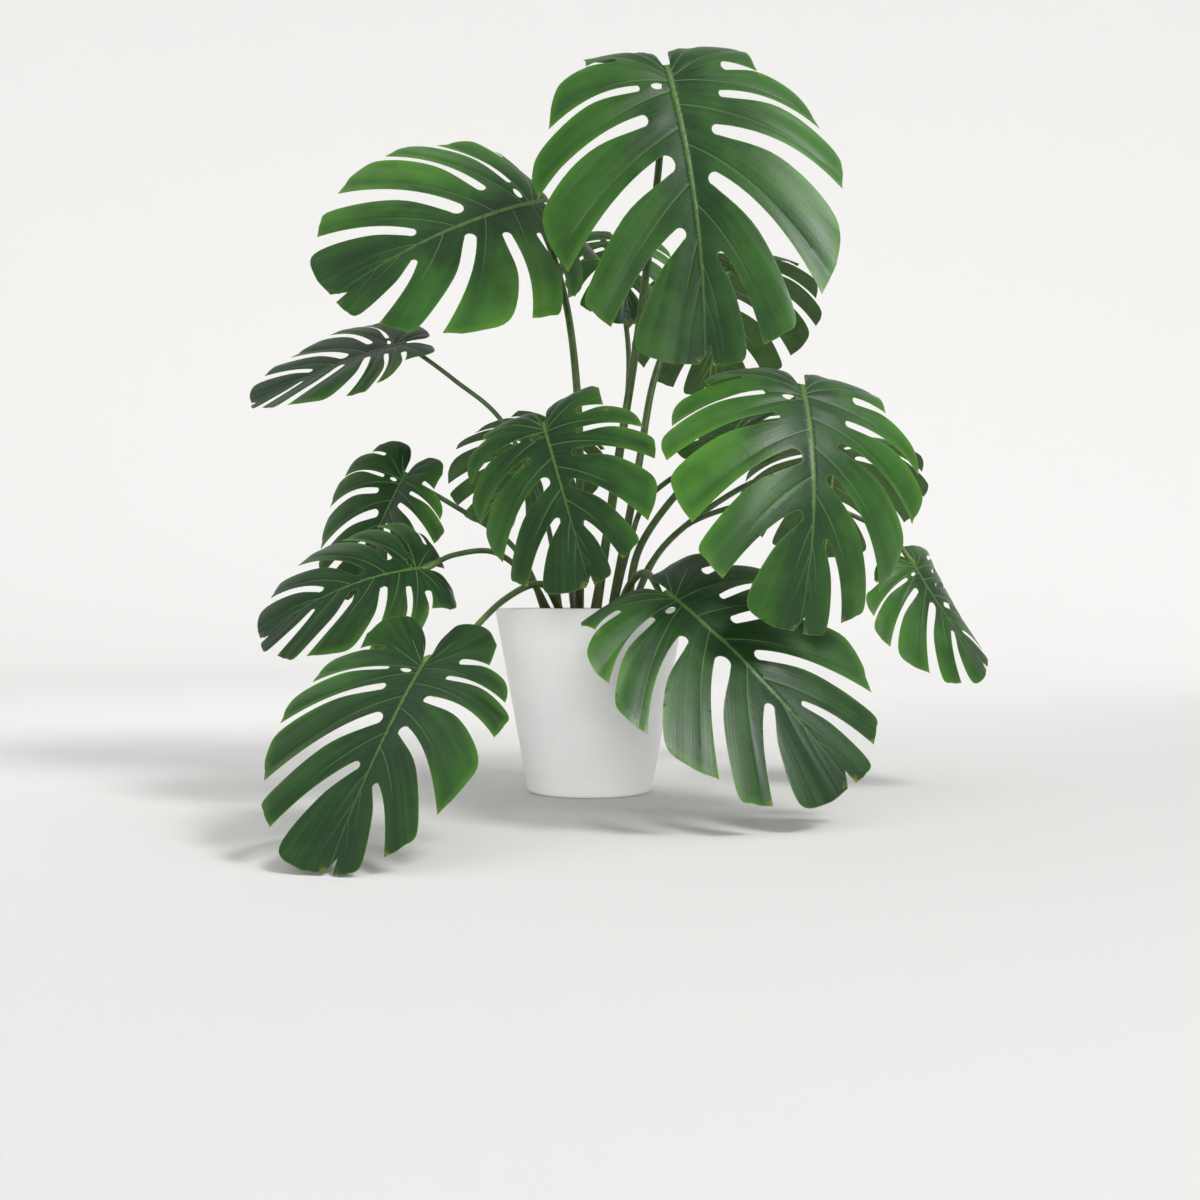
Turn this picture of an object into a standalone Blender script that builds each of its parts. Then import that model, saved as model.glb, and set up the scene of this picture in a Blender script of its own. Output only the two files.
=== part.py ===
"""Swiss cheese plant (monstera) in a plain tapered pot.

Metres, +Z up. The origin is the middle of the pot's underside. The plant is fifteen leaves, each a
split blade on its own petiole (leaf stalk); every petiole stands in a hole in the potting soil.
"""
import bpy
import numpy as np
from math import cos, hypot, pi, radians, sin
from mathutils import Vector
from mathutils.geometry import delaunay_2d_cdt

# ---- Driving dimensions ----------------------------------------------------------------------
POT_HEIGHT = 0.252
POT_RIM_RADIUS = 0.130
POT_BASE_RADIUS = 0.085
POT_WALL = 0.006
POT_FLOOR = 0.009
RIM_ROUND = 0.0024          # the rim's edges
BASE_ROUND = 0.006          # the edge round the underside
SOIL_BELOW_RIM = 0.022
SOIL_CROWN = 0.006          # how much the soil stands higher in the middle
SOIL_PROFILE = ((0.5, 0.8), (0.85, 0.3))   # shares of the edge's radius, and of the crown there
PETIOLE_IN_SOIL = 0.030
BLADE_THICKNESS = 0.0016
KNEE_LENGTH = 0.018         # the straight end of a petiole under its blade
GAP = 0.0003                # clearance between pieces that touch
FLOOR_CLEARANCE = 0.0006    # under the trailing leaf, and the least under any other
EMERGE_HEIGHT = 0.018       # a petiole's first bend above the soil's edge
POT_SEGMENTS = 48
SOIL_SEGMENTS = 40
HOLE_SIDES = 16
PETIOLE_STEPS = 2           # mesh steps of a petiole between two of its points

# ---- Blade outline, in shares of the midrib's length ------------------------------------------
# u runs along the midrib from the petiole (0) to the tip (1), v outwards from the midrib.
# base: the rounded lobe behind the petiole. lobes: each lobe's shoulder and its pointed corner,
# from the base to the tip. slits: inner end (u, v) and half width of the split after each lobe.
LEFT_SIDE = {
    "base": [(-0.03, 0.016), (-0.13, 0.042), (-0.205, 0.11), (-0.225, 0.20), (-0.20, 0.30),
             (-0.14, 0.365)],
    "lobes": [((-0.14, 0.365), (-0.06, 0.385)), ((0.00, 0.475), (0.15, 0.52)),
              ((0.195, 0.545), (0.375, 0.555)), ((0.43, 0.535), (0.665, 0.47)),
              ((0.74, 0.42), (0.865, 0.335)), ((0.925, 0.25), (1.00, 0.02))],
    "slits": [(-0.07, 0.225, 0.012), (0.05, 0.150, 0.012), (0.17, 0.125, 0.022),
              (0.335, 0.055, 0.034), (0.57, 0.052, 0.022)],
}
RIGHT_SIDE = {
    "base": [(-0.03, 0.016), (-0.12, 0.042), (-0.18, 0.11), (-0.19, 0.20), (-0.16, 0.30),
             (-0.09, 0.365)],
    "lobes": [((-0.09, 0.365), (0.03, 0.38)), ((0.10, 0.47), (0.24, 0.54)),
              ((0.30, 0.575), (0.445, 0.565)), ((0.53, 0.51), (0.79, 0.42)),
              ((0.85, 0.34), (0.945, 0.225)), ((0.975, 0.15), (1.005, 0.03))],
    "slits": [(0.01, 0.22, 0.018), (0.12, 0.165, 0.014), (0.235, 0.11, 0.020),
              (0.385, 0.062, 0.024), (0.65, 0.064, 0.014)],
}
TIP_TEAR = [(1.005, 0.03), (0.945, 0.022), (1.00, 0.02)]     # the small tear beside the tip
HOLE_CENTRE = (0.055, -0.068)
HOLE_SIZE = (0.012, 0.028)  # half sizes along and across the midrib
HOLE_STEPS = 8
MIDRIB_STEPS = 10           # mesh steps along the crease, up to MIDRIB_END
MIDRIB_END = 0.92
SINUS_U = -0.03             # bottom of the notch between the lobes behind the junction
LOBE_SWEEP = 0.16           # how far a lobe's edges bow away from a straight line
EDGE_SWEEP = 0.10
SWEEP_WAY = (-1.0, 0.35)    # which way they bow, in (u, v)
MARGIN_BULGE = 0.12         # how far a lobe's outer edge stands out, by its length
DROOP_SPAN = 0.55           # v by which a half has made its whole droop
BACK_SPAN = 0.2             # -u by which the lobes behind the petiole have made their bend
BASE_SPAN = (-0.1, 0.3)     # u between which a blade's own base width fades out
SLIT_STEPS = 2              # mesh steps along a slit's edge
ARC_STEPS = 3               # mesh steps round a slit's inner end
SHAPE_SPREAD = 0.03         # how much one leaf's lobes differ from the next leaf's
SETTLE_ROUNDS = 8           # steps in which a tip comes down to the surface
INNER_RINGS = ((0.10, 0.10), (0.24, 0.17))     # v of the points inside the blade, and their step
INNER_SPAN = (-0.10, 0.95)  # and the u between which they lie
CLEAR_OF_EDGE = 0.03        # how far they keep from the outline's corners

# ---- The leaves -------------------------------------------------------------------------------
# Heights are above the pot's rim.
# junction, tip: where the petiole meets the blade, and the end of the midrib.
# roll: turn about the midrib, right side up. arch: height of the midrib's bow. sway: its sideways
# bow. fold: how steeply the halves rise from the midrib. droop: how far each half then bends down.
# back: how far the lobes behind the petiole bend down. twist: turn from junction to tip.
# width: each half's width against the rule, left and right; base_width: the same near the base.
# root: where the petiole leaves the soil. via: points that the petiole passes through.
# girth: petiole radius at the soil and at the blade. entry: a petiole ends under its blade, or,
# with "behind", in line with the midrib, in the notch between the lobes behind the junction.
# trailing: the tip hangs down to the surface that the pot stands on.
LEAVES = {
    "leaf_01": dict(junction=(0.101, -0.149, 0.685), tip=(0.141, -0.244, 0.296), roll=15,
                    arch=0.03, sway=0.025, fold=8, droop=(34, 42), back=72, twist=18, width=(0.84, 0.84),
                    base_width=(0.80, 0.93),
                    root=(0.008, -0.012), girth=(0.0065, 0.0045),
                    via=[(0.035, -0.02, 0.178), (0.062, -0.035, 0.348), (0.088, -0.065, 0.548)]),
    "leaf_02": dict(junction=(-0.072, 0.0, 0.560), tip=(-0.332, -0.121, 0.403), roll=-56,
                    arch=0.06, sway=-0.015, fold=0, droop=(14, 0), back=80, twist=10, width=(1.06, 1.06),
                    root=(-0.016, 0.012), girth=(0.0065, 0.0045),
                    via=[(-0.014, 0.012, 0.168), (-0.017, 0.02, 0.288), (-0.03, 0.035, 0.408),
                         (-0.053, 0.035, 0.498)]),
    "leaf_03": dict(junction=(-0.055, -0.205, 0.226), tip=(0.002, -0.290, 0.027), roll=48,
                    arch=0.0, sway=0.0, fold=13, droop=(42, 27), back=72, twist=6, width=(0.98, 0.98),
                    root=(-0.012, -0.045), girth=(0.0050, 0.0036),
                    via=[(-0.020, -0.085, 0.088), (-0.034, -0.135, 0.168)]),
    "leaf_04": dict(junction=(0.262, -0.227, 0.269), tip=(0.244, -0.310, -0.026), roll=-30,
                    arch=0.10, sway=0.01, fold=2, droop=(46, 20), back=50, twist=-24, width=(1.05, 1.05),
                    root=(0.050, -0.022), girth=(0.0056, 0.0040),
                    via=[(0.068, -0.02, 0.082), (0.125, -0.045, 0.163), (0.20, -0.115, 0.233)]),
    "leaf_05": dict(junction=(0.098, -0.268, 0.017), tip=(0.303, -0.330, -0.203), roll=35,
                    arch=0.045, sway=0.0, fold=3, droop=(10, 12), back=70, twist=3, width=(1.04, 0.97),
                    root=(0.035, -0.055), girth=(0.0050, 0.0038),
                    via=[(0.055, -0.095, 0.033), (0.074, -0.17, 0.045)]),
    "leaf_06": dict(junction=(-0.188, -0.340, -0.062), tip=(-0.246, -0.620, -0.250), roll=0,
                    arch=0.03, sway=0.0, fold=8, droop=(20, 20), back=-30, twist=0, width=(0.65, 0.65),
                    trailing=True,
                    root=(-0.035, -0.052), girth=(0.0050, 0.0032), entry="behind",
                    via=[(-0.063, -0.095, 0.032), (-0.108, -0.180, 0.010),
                         (-0.160, -0.275, -0.047)]),
    "leaf_07": dict(junction=(-0.214, -0.141, 0.052), tip=(-0.415, -0.165, -0.040), roll=-45,
                    arch=0.09, sway=-0.02, fold=5, droop=(27, 21), back=72, twist=9, width=(0.96, 0.96),
                    root=(-0.052, -0.030), girth=(0.0046, 0.0034), entry="behind",
                    via=[(-0.080, -0.048, 0.038), (-0.125, -0.080, 0.074),
                         (-0.175, -0.112, 0.070)]),
    "leaf_08": dict(junction=(-0.260, 0.035, 0.185), tip=(-0.330, 0.000, 0.010), roll=-30,
                    arch=0.0, sway=-0.03, fold=18, droop=(35, 30), back=30, twist=4, width=(1.03, 1.03),
                    root=(-0.060, 0.000), girth=(0.0046, 0.0034),
                    via=[(-0.085, 0.01, 0.053), (-0.120, 0.025, 0.098), (-0.190, 0.050, 0.143)]),
    "leaf_09": dict(junction=(-0.262, -0.005, 0.363), tip=(-0.459, -0.030, 0.277), roll=-30,
                    arch=0.03, sway=0.0, fold=8, droop=(16, 24), back=30, twist=0, width=(0.86, 0.84),
                    root=(-0.040, 0.012), girth=(0.0040, 0.0030), entry="behind",
                    via=[(-0.062, 0.012, 0.128), (-0.118, 0.002, 0.253), (-0.188, -0.004, 0.315)]),
    "leaf_10": dict(junction=(-0.052, 0.120, 0.256), tip=(-0.170, 0.225, 0.128), roll=25,
                    arch=0.06, sway=0.0, fold=10, droop=(40, 40), back=60, twist=0, width=(1.0, 1.0),
                    root=(-0.022, 0.042), girth=(0.0048, 0.0036),
                    via=[(-0.036, 0.060, 0.108), (-0.055, 0.090, 0.198)]),
    "leaf_11": dict(junction=(0.036, 0.125, 0.543), tip=(0.056, 0.060, 0.403), roll=10,
                    arch=0.05, sway=0.0, fold=10, droop=(40, 40), back=60, twist=0, width=(1.0, 1.0),
                    root=(0.004, 0.036), girth=(0.0048, 0.0034),
                    via=[(0.038, 0.060, 0.178), (0.056, 0.110, 0.348), (0.044, 0.150, 0.478)]),
    "leaf_12": dict(junction=(0.212, 0.190, 0.520), tip=(0.192, 0.400, 0.350), roll=0,
                    arch=0.06, sway=0.0, fold=8, droop=(42, 42), back=60, twist=0, width=(1.0, 1.0),
                    root=(0.030, 0.030), girth=(0.0062, 0.0042),
                    via=[(0.068, 0.050, 0.198), (0.098, 0.078, 0.348), (0.165, 0.145, 0.475)]),
    "leaf_13": dict(junction=(0.360, 0.110, 0.238), tip=(0.372, 0.310, 0.078), roll=0,
                    arch=0.06, sway=0.0, fold=8, droop=(40, 40), back=60, twist=0, width=(1.0, 1.0),
                    root=(0.052, 0.034), girth=(0.0050, 0.0038),
                    via=[(0.105, 0.045, 0.088), (0.210, 0.075, 0.168), (0.310, 0.105, 0.208)]),
    "leaf_14": dict(junction=(0.189, -0.050, 0.226), tip=(0.249, 0.130, 0.290), roll=0,
                    arch=0.05, sway=0.0, fold=8, droop=(35, 35), back=50, twist=0, width=(1.0, 1.0),
                    root=(0.030, 0.004), girth=(0.0046, 0.0034),
                    via=[(0.052, -0.002, 0.078), (0.078, -0.012, 0.148), (0.140, -0.038, 0.193)]),
    "leaf_15": dict(junction=(0.444, -0.014, 0.059), tip=(0.547, 0.000, -0.084), roll=52,
                    arch=0.0, sway=-0.04, fold=4, droop=(50, 45), back=65, twist=-14, width=(1.10, 1.10),
                    root=(0.058, 0.006), girth=(0.0044, 0.0032), entry="behind",
                    via=[(0.085, 0.004, 0.063), (0.150, -0.004, 0.123), (0.280, -0.010, 0.150),
                         (0.400, -0.012, 0.108)]),
}

MATERIALS = {
    "pot_glaze": ((0.80, 0.80, 0.79, 1), 0.25),
    "potting_soil": ((0.035, 0.024, 0.016, 1), 0.95),
    "leaf_blade": ((0.035, 0.115, 0.028, 1), 0.38),
    "leaf_petiole": ((0.075, 0.150, 0.035, 1), 0.45),
}

SOIL_TOP = POT_HEIGHT - SOIL_BELOW_RIM


# ---- Scene, materials and small helpers -------------------------------------------------------
def new_collection(name):
    collection = bpy.data.collections.new(name)
    bpy.context.scene.collection.children.link(collection)
    return collection


def new_material(name):
    colour, roughness = MATERIALS[name]
    material = bpy.data.materials.new(name)
    material.use_nodes = True
    shader = material.node_tree.nodes["Principled BSDF"]
    shader.inputs["Base Color"].default_value = colour
    shader.inputs["Roughness"].default_value = roughness
    shader.inputs["Metallic"].default_value = 0.0
    return material


def add_object(name, data, collection, material=None):
    obj = bpy.data.objects.new(name, data)
    collection.objects.link(obj)
    if material:
        data.materials.append(material)
    return obj


def arc(centre, radius, start, end, steps):
    """Points on an arc in a turned profile, angles in degrees."""
    angles = [radians(start + (end - start) * i / steps) for i in range(steps + 1)]
    return [(centre[0] + radius * cos(a), centre[1] + radius * sin(a)) for a in angles]


def smooth_curve(points, steps):
    """A smooth curve through the points, with the given number of steps between each two."""
    points = [np.array(p, float) for p in points]
    points = [2 * points[0] - points[1]] + points + [2 * points[-1] - points[-2]]
    curve = []
    for i in range(1, len(points) - 2):
        a, b, c, d = points[i - 1:i + 3]
        for k in range(steps):
            t = k / steps
            curve.append(0.5 * (2 * b + (c - a) * t + (2 * a - 5 * b + 4 * c - d) * t ** 2
                                + (3 * b - 3 * c + d - a) * t ** 3))
    return curve + [points[-2]]


# ---- Pot and soil -----------------------------------------------------------------------------
def wall_radius(height):
    """The pot's outer radius at a height."""
    return POT_BASE_RADIUS + (POT_RIM_RADIUS - POT_BASE_RADIUS) * height / POT_HEIGHT


def turned(name, profile, segments, collection, material):
    """A solid of revolution; the profile runs from the axis over the top and down outside."""
    mesh = bpy.data.meshes.new(name)
    edges = [(i, i + 1) for i in range(len(profile) - 1)]
    mesh.from_pydata([(x, 0, z) for x, z in profile], edges, [])
    obj = add_object(name, mesh, collection, material)
    screw = obj.modifiers.new("Turn", "SCREW")
    screw.axis = "Z"
    screw.steps = screw.render_steps = segments
    screw.use_merge_vertices = True
    screw.merge_threshold = 0.0001
    screw.use_smooth_shade = True
    return obj


def make_pot(collection, material):
    inner = POT_RIM_RADIUS - POT_WALL
    profile = [(0, POT_FLOOR), (wall_radius(POT_FLOOR) - POT_WALL, POT_FLOOR)]
    profile += arc((inner + RIM_ROUND, POT_HEIGHT - RIM_ROUND), RIM_ROUND, 180, 90, 3)
    profile += arc((POT_RIM_RADIUS - RIM_ROUND, POT_HEIGHT - RIM_ROUND), RIM_ROUND, 90, 0, 3)
    profile += arc((wall_radius(BASE_ROUND) - BASE_ROUND, BASE_ROUND), BASE_ROUND, 0, -90, 4)
    profile += [(0, 0)]
    return turned("pot", profile, POT_SEGMENTS, collection, material)


def make_soil(collection, cutters, material):
    low = POT_FLOOR + GAP
    play = POT_WALL + 2 * GAP
    edge = wall_radius(SOIL_TOP) - play
    profile = [(0, SOIL_TOP + SOIL_CROWN)]
    profile += [(out * edge, SOIL_TOP + share * SOIL_CROWN) for out, share in SOIL_PROFILE]
    profile += [(edge, SOIL_TOP)]
    profile += [(wall_radius(low) - play, low), (0, low)]
    soil = turned("potting_soil", profile, SOIL_SEGMENTS, collection, material)
    for cutter in cutters:
        cut = soil.modifiers.new("Hole", "BOOLEAN")
        cut.operation = "DIFFERENCE"
        cut.object = cutter
    return soil


# ---- Blade outline ----------------------------------------------------------------------------
def varied(side, seed):
    """One leaf's own version of a side: its corners and slits differ a little from the rule."""
    spread = np.random.default_rng(seed).uniform(-SHAPE_SPREAD, SHAPE_SPREAD, (12, 3))
    lobes = [(np.array(s) + (d[0], d[1] * (k > 0)), np.array(t) + (d[0] * 0.5, d[1]))
             for k, ((s, t), d) in enumerate(zip(side["lobes"][:-1], spread * 0.5))]
    lobes[0] = side["lobes"][0]
    lobes.append(side["lobes"][-1])
    slits = [(u + d[0] * 0.4, v * (1 + 3 * d[1]), r) for (u, v, r), d in zip(side["slits"], spread[6:])]
    return {"base": side["base"], "lobes": lobes, "slits": slits}


def lean(chord, share):
    """Offset that bows an edge backwards, by a share of its length."""
    return np.array(SWEEP_WAY) * share * hypot(*chord)


def side_outline(side):
    """One side's outline from the junction to the tip, v positive."""
    outline = smooth_curve(side["base"], 1)
    low_edge = None
    for k, (shoulder, corner) in enumerate(side["lobes"]):
        shoulder, corner = np.array(shoulder), np.array(corner)
        if k:
            chord = shoulder - low_edge
            middle = (low_edge + shoulder) / 2 + lean(chord, EDGE_SWEEP)
            margin = corner - shoulder
            bulge = (shoulder + corner) / 2 + MARGIN_BULGE * np.array([-margin[1], margin[0]])
            outline += smooth_curve([low_edge, middle, shoulder, bulge, corner], 1)
        if k < len(side["slits"]):
            u, v, radius = side["slits"][k]
            inner = np.array([u, v])
            control = inner + (corner - inner) * 0.5 + lean(corner - inner, LOBE_SWEEP)
            along = (control - inner) / hypot(*(control - inner))
            across = np.array([-along[1], along[0]])
            across = across if across[0] < 0 else -across
            centre = inner + along * radius
            start = centre + across * radius
            for i in range(1, SLIT_STEPS + 1):
                t = i / SLIT_STEPS
                outline.append((1 - t) ** 2 * corner + 2 * t * (1 - t) * control + t * t * start)
            for i in range(1, ARC_STEPS):
                a = pi * i / ARC_STEPS
                outline.append(centre + across * radius * cos(a) - along * radius * sin(a))
            low_edge = centre - across * radius
    return outline


def blade_outline(seed):
    """The whole outline, anticlockwise: up the right side, round the tip and back on the left."""
    right = side_outline(varied(RIGHT_SIDE, seed))
    left = [np.array([u, -v]) for u, v in side_outline(varied(LEFT_SIDE, seed + 100))]
    return right + [np.array(TIP_TEAR[1])] + left[::-1]


def blade_pattern(seed):
    """Points and triangles of the flat blade, in (u, v)."""
    outline = blade_outline(seed)
    angles = [2 * pi * i / HOLE_STEPS for i in range(HOLE_STEPS)]
    hole = [np.array([HOLE_CENTRE[0] + HOLE_SIZE[0] * sin(a), HOLE_CENTRE[1] + HOLE_SIZE[1] * cos(a)])
            for a in angles]
    midrib = [np.array([MIDRIB_END * i / MIDRIB_STEPS, 0.0]) for i in range(MIDRIB_STEPS + 1)]
    inside = [np.array([u, s * v]) for v, step in INNER_RINGS
              for u in np.arange(*INNER_SPAN, step) for s in (-1, 1)]
    inside = [p for p in inside if clear_of(p, outline) and clear_of(p, hole)]
    points = outline + hole + midrib + inside
    first = [0, len(outline), len(outline) + len(hole)]
    loops = [[first[0] + i for i in range(len(outline))], [first[1] + i for i in range(len(hole))]]
    crease = [(first[2] + i, first[2] + i + 1) for i in range(len(midrib) - 1)]
    flat, _, faces, *_ = delaunay_2d_cdt([Vector(p) for p in points], crease, loops, 1, 1e-6)
    flat = [np.array(p) for p in flat]
    kept = [f for f in faces if within(sum(flat[i] for i in f) / len(f), outline)
            and not within(sum(flat[i] for i in f) / len(f), hole)]
    return flat, kept


def within(point, loop):
    inside = False
    for (ax, ay), (bx, by) in zip(loop, loop[1:] + loop[:1]):
        if (ay > point[1]) != (by > point[1]):
            if point[0] < ax + (point[1] - ay) / (by - ay) * (bx - ax):
                inside = not inside
    return inside


def clear_of(point, loop):
    """True for a point that is not close to the loop's corners."""
    return min(hypot(point[0] - x, point[1] - y) for x, y in loop) > CLEAR_OF_EDGE


# ---- Blade in space ---------------------------------------------------------------------------
class Blade:
    """Places a point of the flat blade in space: the midrib's arch, then the halves' fold."""

    def __init__(self, leaf):
        self.leaf = leaf
        self.junction, self.tip = np.array(leaf["junction"]), np.array(leaf["tip"])
        self.chord = self.tip - self.junction
        self.length = np.linalg.norm(self.chord)
        along = self.chord / self.length
        right = np.array([-along[1], along[0], 0.0])
        right /= np.linalg.norm(right)
        up = np.cross(along, right)
        roll = radians(leaf["roll"])
        self.right = right * cos(roll) + up * sin(roll)
        self.up = up * cos(roll) - right * sin(roll)

    def frame(self, u):
        """The midrib's point, direction, right side and upper side at u."""
        u = max(u, 0.0)
        lift = 4 * self.length * (self.leaf["arch"] * self.up + self.leaf["sway"] * self.right)
        point = self.junction + self.chord * u + lift * u * (1 - u)
        along = self.chord + lift * (1 - 2 * u)
        along /= np.linalg.norm(along)
        right = self.right - along * (self.right @ along)
        right /= np.linalg.norm(right)
        up = np.cross(along, right)
        twist = radians(self.leaf["twist"]) * u
        return point, along, right * cos(twist) + up * sin(twist), up * cos(twist) - right * sin(twist)

    def width(self, u, v):
        """How wide the blade's half is there, as a share of the rule."""
        half = 1 if v >= 0 else 0
        low, high = BASE_SPAN
        base = min(max((high - u) / (high - low), 0.0), 1.0)
        return self.leaf["width"][half] * (1 + (self.leaf.get("base_width", (1, 1))[half] - 1) * base)

    def place(self, u, v):
        point, along, right, up = self.frame(u)
        if u < 0:
            bend = radians(self.leaf["back"]) / (BACK_SPAN * self.length)
            a = bend * -u * self.length
            point = point - along * sin(a) / bend - up * (1 - cos(a)) / bend
            up = up * cos(a) - along * sin(a)
        droop = radians(self.leaf["droop"][1 if v >= 0 else 0] + 0.01)
        rise = radians(self.leaf["fold"])
        bend = droop / (DROOP_SPAN * self.length)
        reach = abs(v) * self.length * self.width(u, v)
        out = (sin(rise) - sin(rise - bend * reach)) / bend
        lift = (cos(rise - bend * reach) - cos(rise)) / bend
        return point + right * (out if v >= 0 else -out) + up * lift


def standing(leaf, seed):
    """The leaf in the plant's frame, its tip raised or lowered so that it clears the surface under
    the pot; a trailing leaf's tip lies down on it."""
    lift = np.array([0, 0, POT_HEIGHT])
    leaf = dict(leaf, junction=leaf["junction"] + lift, tip=leaf["tip"] + lift,
                via=[point + lift for point in leaf["via"]])
    outline = blade_outline(seed)
    for _ in range(SETTLE_ROUNDS):
        blade = Blade(leaf)
        lowest = min(blade.place(u, v)[2] for u, v in outline) - BLADE_THICKNESS / 2
        if lowest < FLOOR_CLEARANCE or leaf.get("trailing"):
            leaf["tip"] = leaf["tip"] + np.array([0, 0, FLOOR_CLEARANCE - lowest])
    return leaf


def make_blade(name, leaf, seed, collection, material):
    flat, faces = blade_pattern(seed)
    blade = Blade(leaf)
    mesh = bpy.data.meshes.new(name)
    mesh.from_pydata([blade.place(u, v) for u, v in flat], [], faces)
    mesh.shade_smooth()
    obj = add_object(name, mesh, collection, material)
    solidify = obj.modifiers.new("Thickness", "SOLIDIFY")
    solidify.thickness = BLADE_THICKNESS
    solidify.offset = 0.0
    return obj


# ---- Petioles ---------------------------------------------------------------------------------
def petiole_route(leaf):
    """From the bottom of its hole in the soil, through its points, to just under the blade."""
    blade = Blade(leaf)
    if leaf.get("entry") == "behind":
        end = blade.place(SINUS_U, 0)
        heading = end - blade.place(2 * SINUS_U, 0)
        heading /= np.linalg.norm(heading)
        top = end - heading * 2 * GAP
    else:
        heading = blade.frame(0)[3]
        top = blade.junction - heading * (BLADE_THICKNESS / 2 + 2 * GAP)
    root = np.array([*leaf["root"], SOIL_TOP])
    first = np.array(leaf["via"][0]) - root
    rise = first / np.linalg.norm(first) + np.array([0, 0, 1.0])
    rise /= np.linalg.norm(rise)
    knee = top - heading * KNEE_LENGTH
    emerge = root + rise * EMERGE_HEIGHT
    route = smooth_curve([emerge, *leaf["via"], knee], PETIOLE_STEPS)
    return [root - rise * PETIOLE_IN_SOIL] + route + [top], rise


def make_petiole(name, leaf, collection, material):
    route, _ = petiole_route(leaf)
    curve = bpy.data.curves.new(name, "CURVE")
    curve.dimensions = "3D"
    curve.bevel_depth = leaf["girth"][0]
    curve.bevel_resolution = 2
    curve.use_fill_caps = True
    curve.materials.append(material)
    spline = curve.splines.new("POLY")
    spline.points.add(len(route) - 1)
    for i, (point, place) in enumerate(zip(spline.points, route)):
        point.co = (*place, 1)
        share = i / (len(route) - 1)
        point.radius = 1 + (leaf["girth"][1] / leaf["girth"][0] - 1) * share
    obj = bpy.data.objects.new(name, curve)
    collection.objects.link(obj)
    return obj


def make_hole_cutter(name, leaf, collection):
    """A round cutter that gives the petiole its clearance in the soil."""
    route, rise = petiole_route(leaf)
    radius = (leaf["girth"][0] + 2 * GAP) / cos(pi / HOLE_SIDES)
    depth = 2 * PETIOLE_IN_SOIL + SOIL_CROWN
    bottom = route[0] - rise * 2 * GAP
    bpy.ops.mesh.primitive_cylinder_add(vertices=HOLE_SIDES, radius=radius, depth=depth,
                                        location=bottom + rise * depth / 2,
                                        rotation=Vector(rise).to_track_quat("Z", "Y").to_euler())
    cutter = bpy.context.active_object
    cutter.name = name
    for linked in list(cutter.users_collection):
        linked.objects.unlink(cutter)
    collection.objects.link(cutter)
    cutter.hide_render = True
    cutter.display_type = "WIRE"
    return cutter


# ---- Build ------------------------------------------------------------------------------------
def main():
    for obj in list(bpy.data.objects):
        bpy.data.objects.remove(obj, do_unlink=True)
    parts = new_collection("potted_monstera")
    cutters = new_collection("cutters")
    materials = {name: new_material(name) for name in MATERIALS}
    leaves = {name: standing(leaf, seed) for seed, (name, leaf) in enumerate(LEAVES.items())}
    make_pot(parts, materials["pot_glaze"])
    holes = [make_hole_cutter(name + "_hole", leaf, cutters) for name, leaf in leaves.items()]
    make_soil(parts, holes, materials["potting_soil"])
    for seed, (name, leaf) in enumerate(leaves.items()):
        make_blade(name + "_blade", leaf, seed, parts, materials["leaf_blade"])
        make_petiole(name + "_petiole", leaf, parts, materials["leaf_petiole"])


main()
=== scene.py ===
"""How the potted Swiss cheese plant looks: fifteen split leaves on their stalks, soil and a pot.

Metres, +Z up. The origin is the middle of the pot's underside. A blade is laid out flat, in shares
of its midrib's length, and then bent into place along the midrib.
"""
from math import cos, hypot, pi, radians, sin
import bpy
import numpy as np
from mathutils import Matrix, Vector, noise
from mathutils.geometry import delaunay_2d_cdt


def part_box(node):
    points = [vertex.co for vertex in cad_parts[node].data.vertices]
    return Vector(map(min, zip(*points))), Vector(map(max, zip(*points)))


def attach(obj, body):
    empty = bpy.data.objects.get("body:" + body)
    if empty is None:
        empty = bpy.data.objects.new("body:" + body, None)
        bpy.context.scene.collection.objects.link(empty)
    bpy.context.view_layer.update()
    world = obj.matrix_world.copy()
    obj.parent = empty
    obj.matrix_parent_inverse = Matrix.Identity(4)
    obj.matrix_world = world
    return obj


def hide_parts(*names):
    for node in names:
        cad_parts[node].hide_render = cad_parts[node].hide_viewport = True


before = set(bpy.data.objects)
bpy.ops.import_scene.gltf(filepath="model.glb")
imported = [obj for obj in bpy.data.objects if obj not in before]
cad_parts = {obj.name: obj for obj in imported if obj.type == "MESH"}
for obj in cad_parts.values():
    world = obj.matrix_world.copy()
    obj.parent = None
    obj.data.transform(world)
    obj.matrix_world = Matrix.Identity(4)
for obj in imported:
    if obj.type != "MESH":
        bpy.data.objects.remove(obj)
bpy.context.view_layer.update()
BODY = "root"

# ---- Pot and soil ----
POT_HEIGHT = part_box("pot")[1].z
RIM_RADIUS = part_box("pot")[1].x
BASE_RADIUS = 0.085
POT_WALL = 0.006
POT_FLOOR = 0.009
RIM_ROUND = 0.0024
BASE_ROUND = 0.006
POT_SEGMENTS = 160
WALL_STEPS = 12
ROUND_STEPS = (8, 10)  # over the rim's roundings and round the base
SOIL_GAP = 0.0003  # round it
SOIL_CROWN = 0.006
SOIL_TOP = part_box("potting_soil")[1].z - SOIL_CROWN
SOIL_FILL = 0.7  # share of the crown that the loose surface reaches
SOIL_RINGS = 40
SOIL_SEGMENTS = 128
SOIL_LUMPS = 0.0018
LUMP_SCALE = 60
LUMP_NOISE = (0.6, 2.1, 4)  # roughness, step and number of its octaves
CHIPS = 520  # loose bits of bark on the soil
CHIP_SEED = 8
CHIP_OUT = (0.05, 0.96)  # how far out they lie, by the soil's radius
CHIP_CROWDING = 0.6  # below 1 more lie near the rim
CHIP_LENGTH = (0.0010, 0.0032)
CHIP_WIDTH = (0.4, 1.0)  # by the length
CHIP_DEPTH = (0.25, 0.5)
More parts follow.
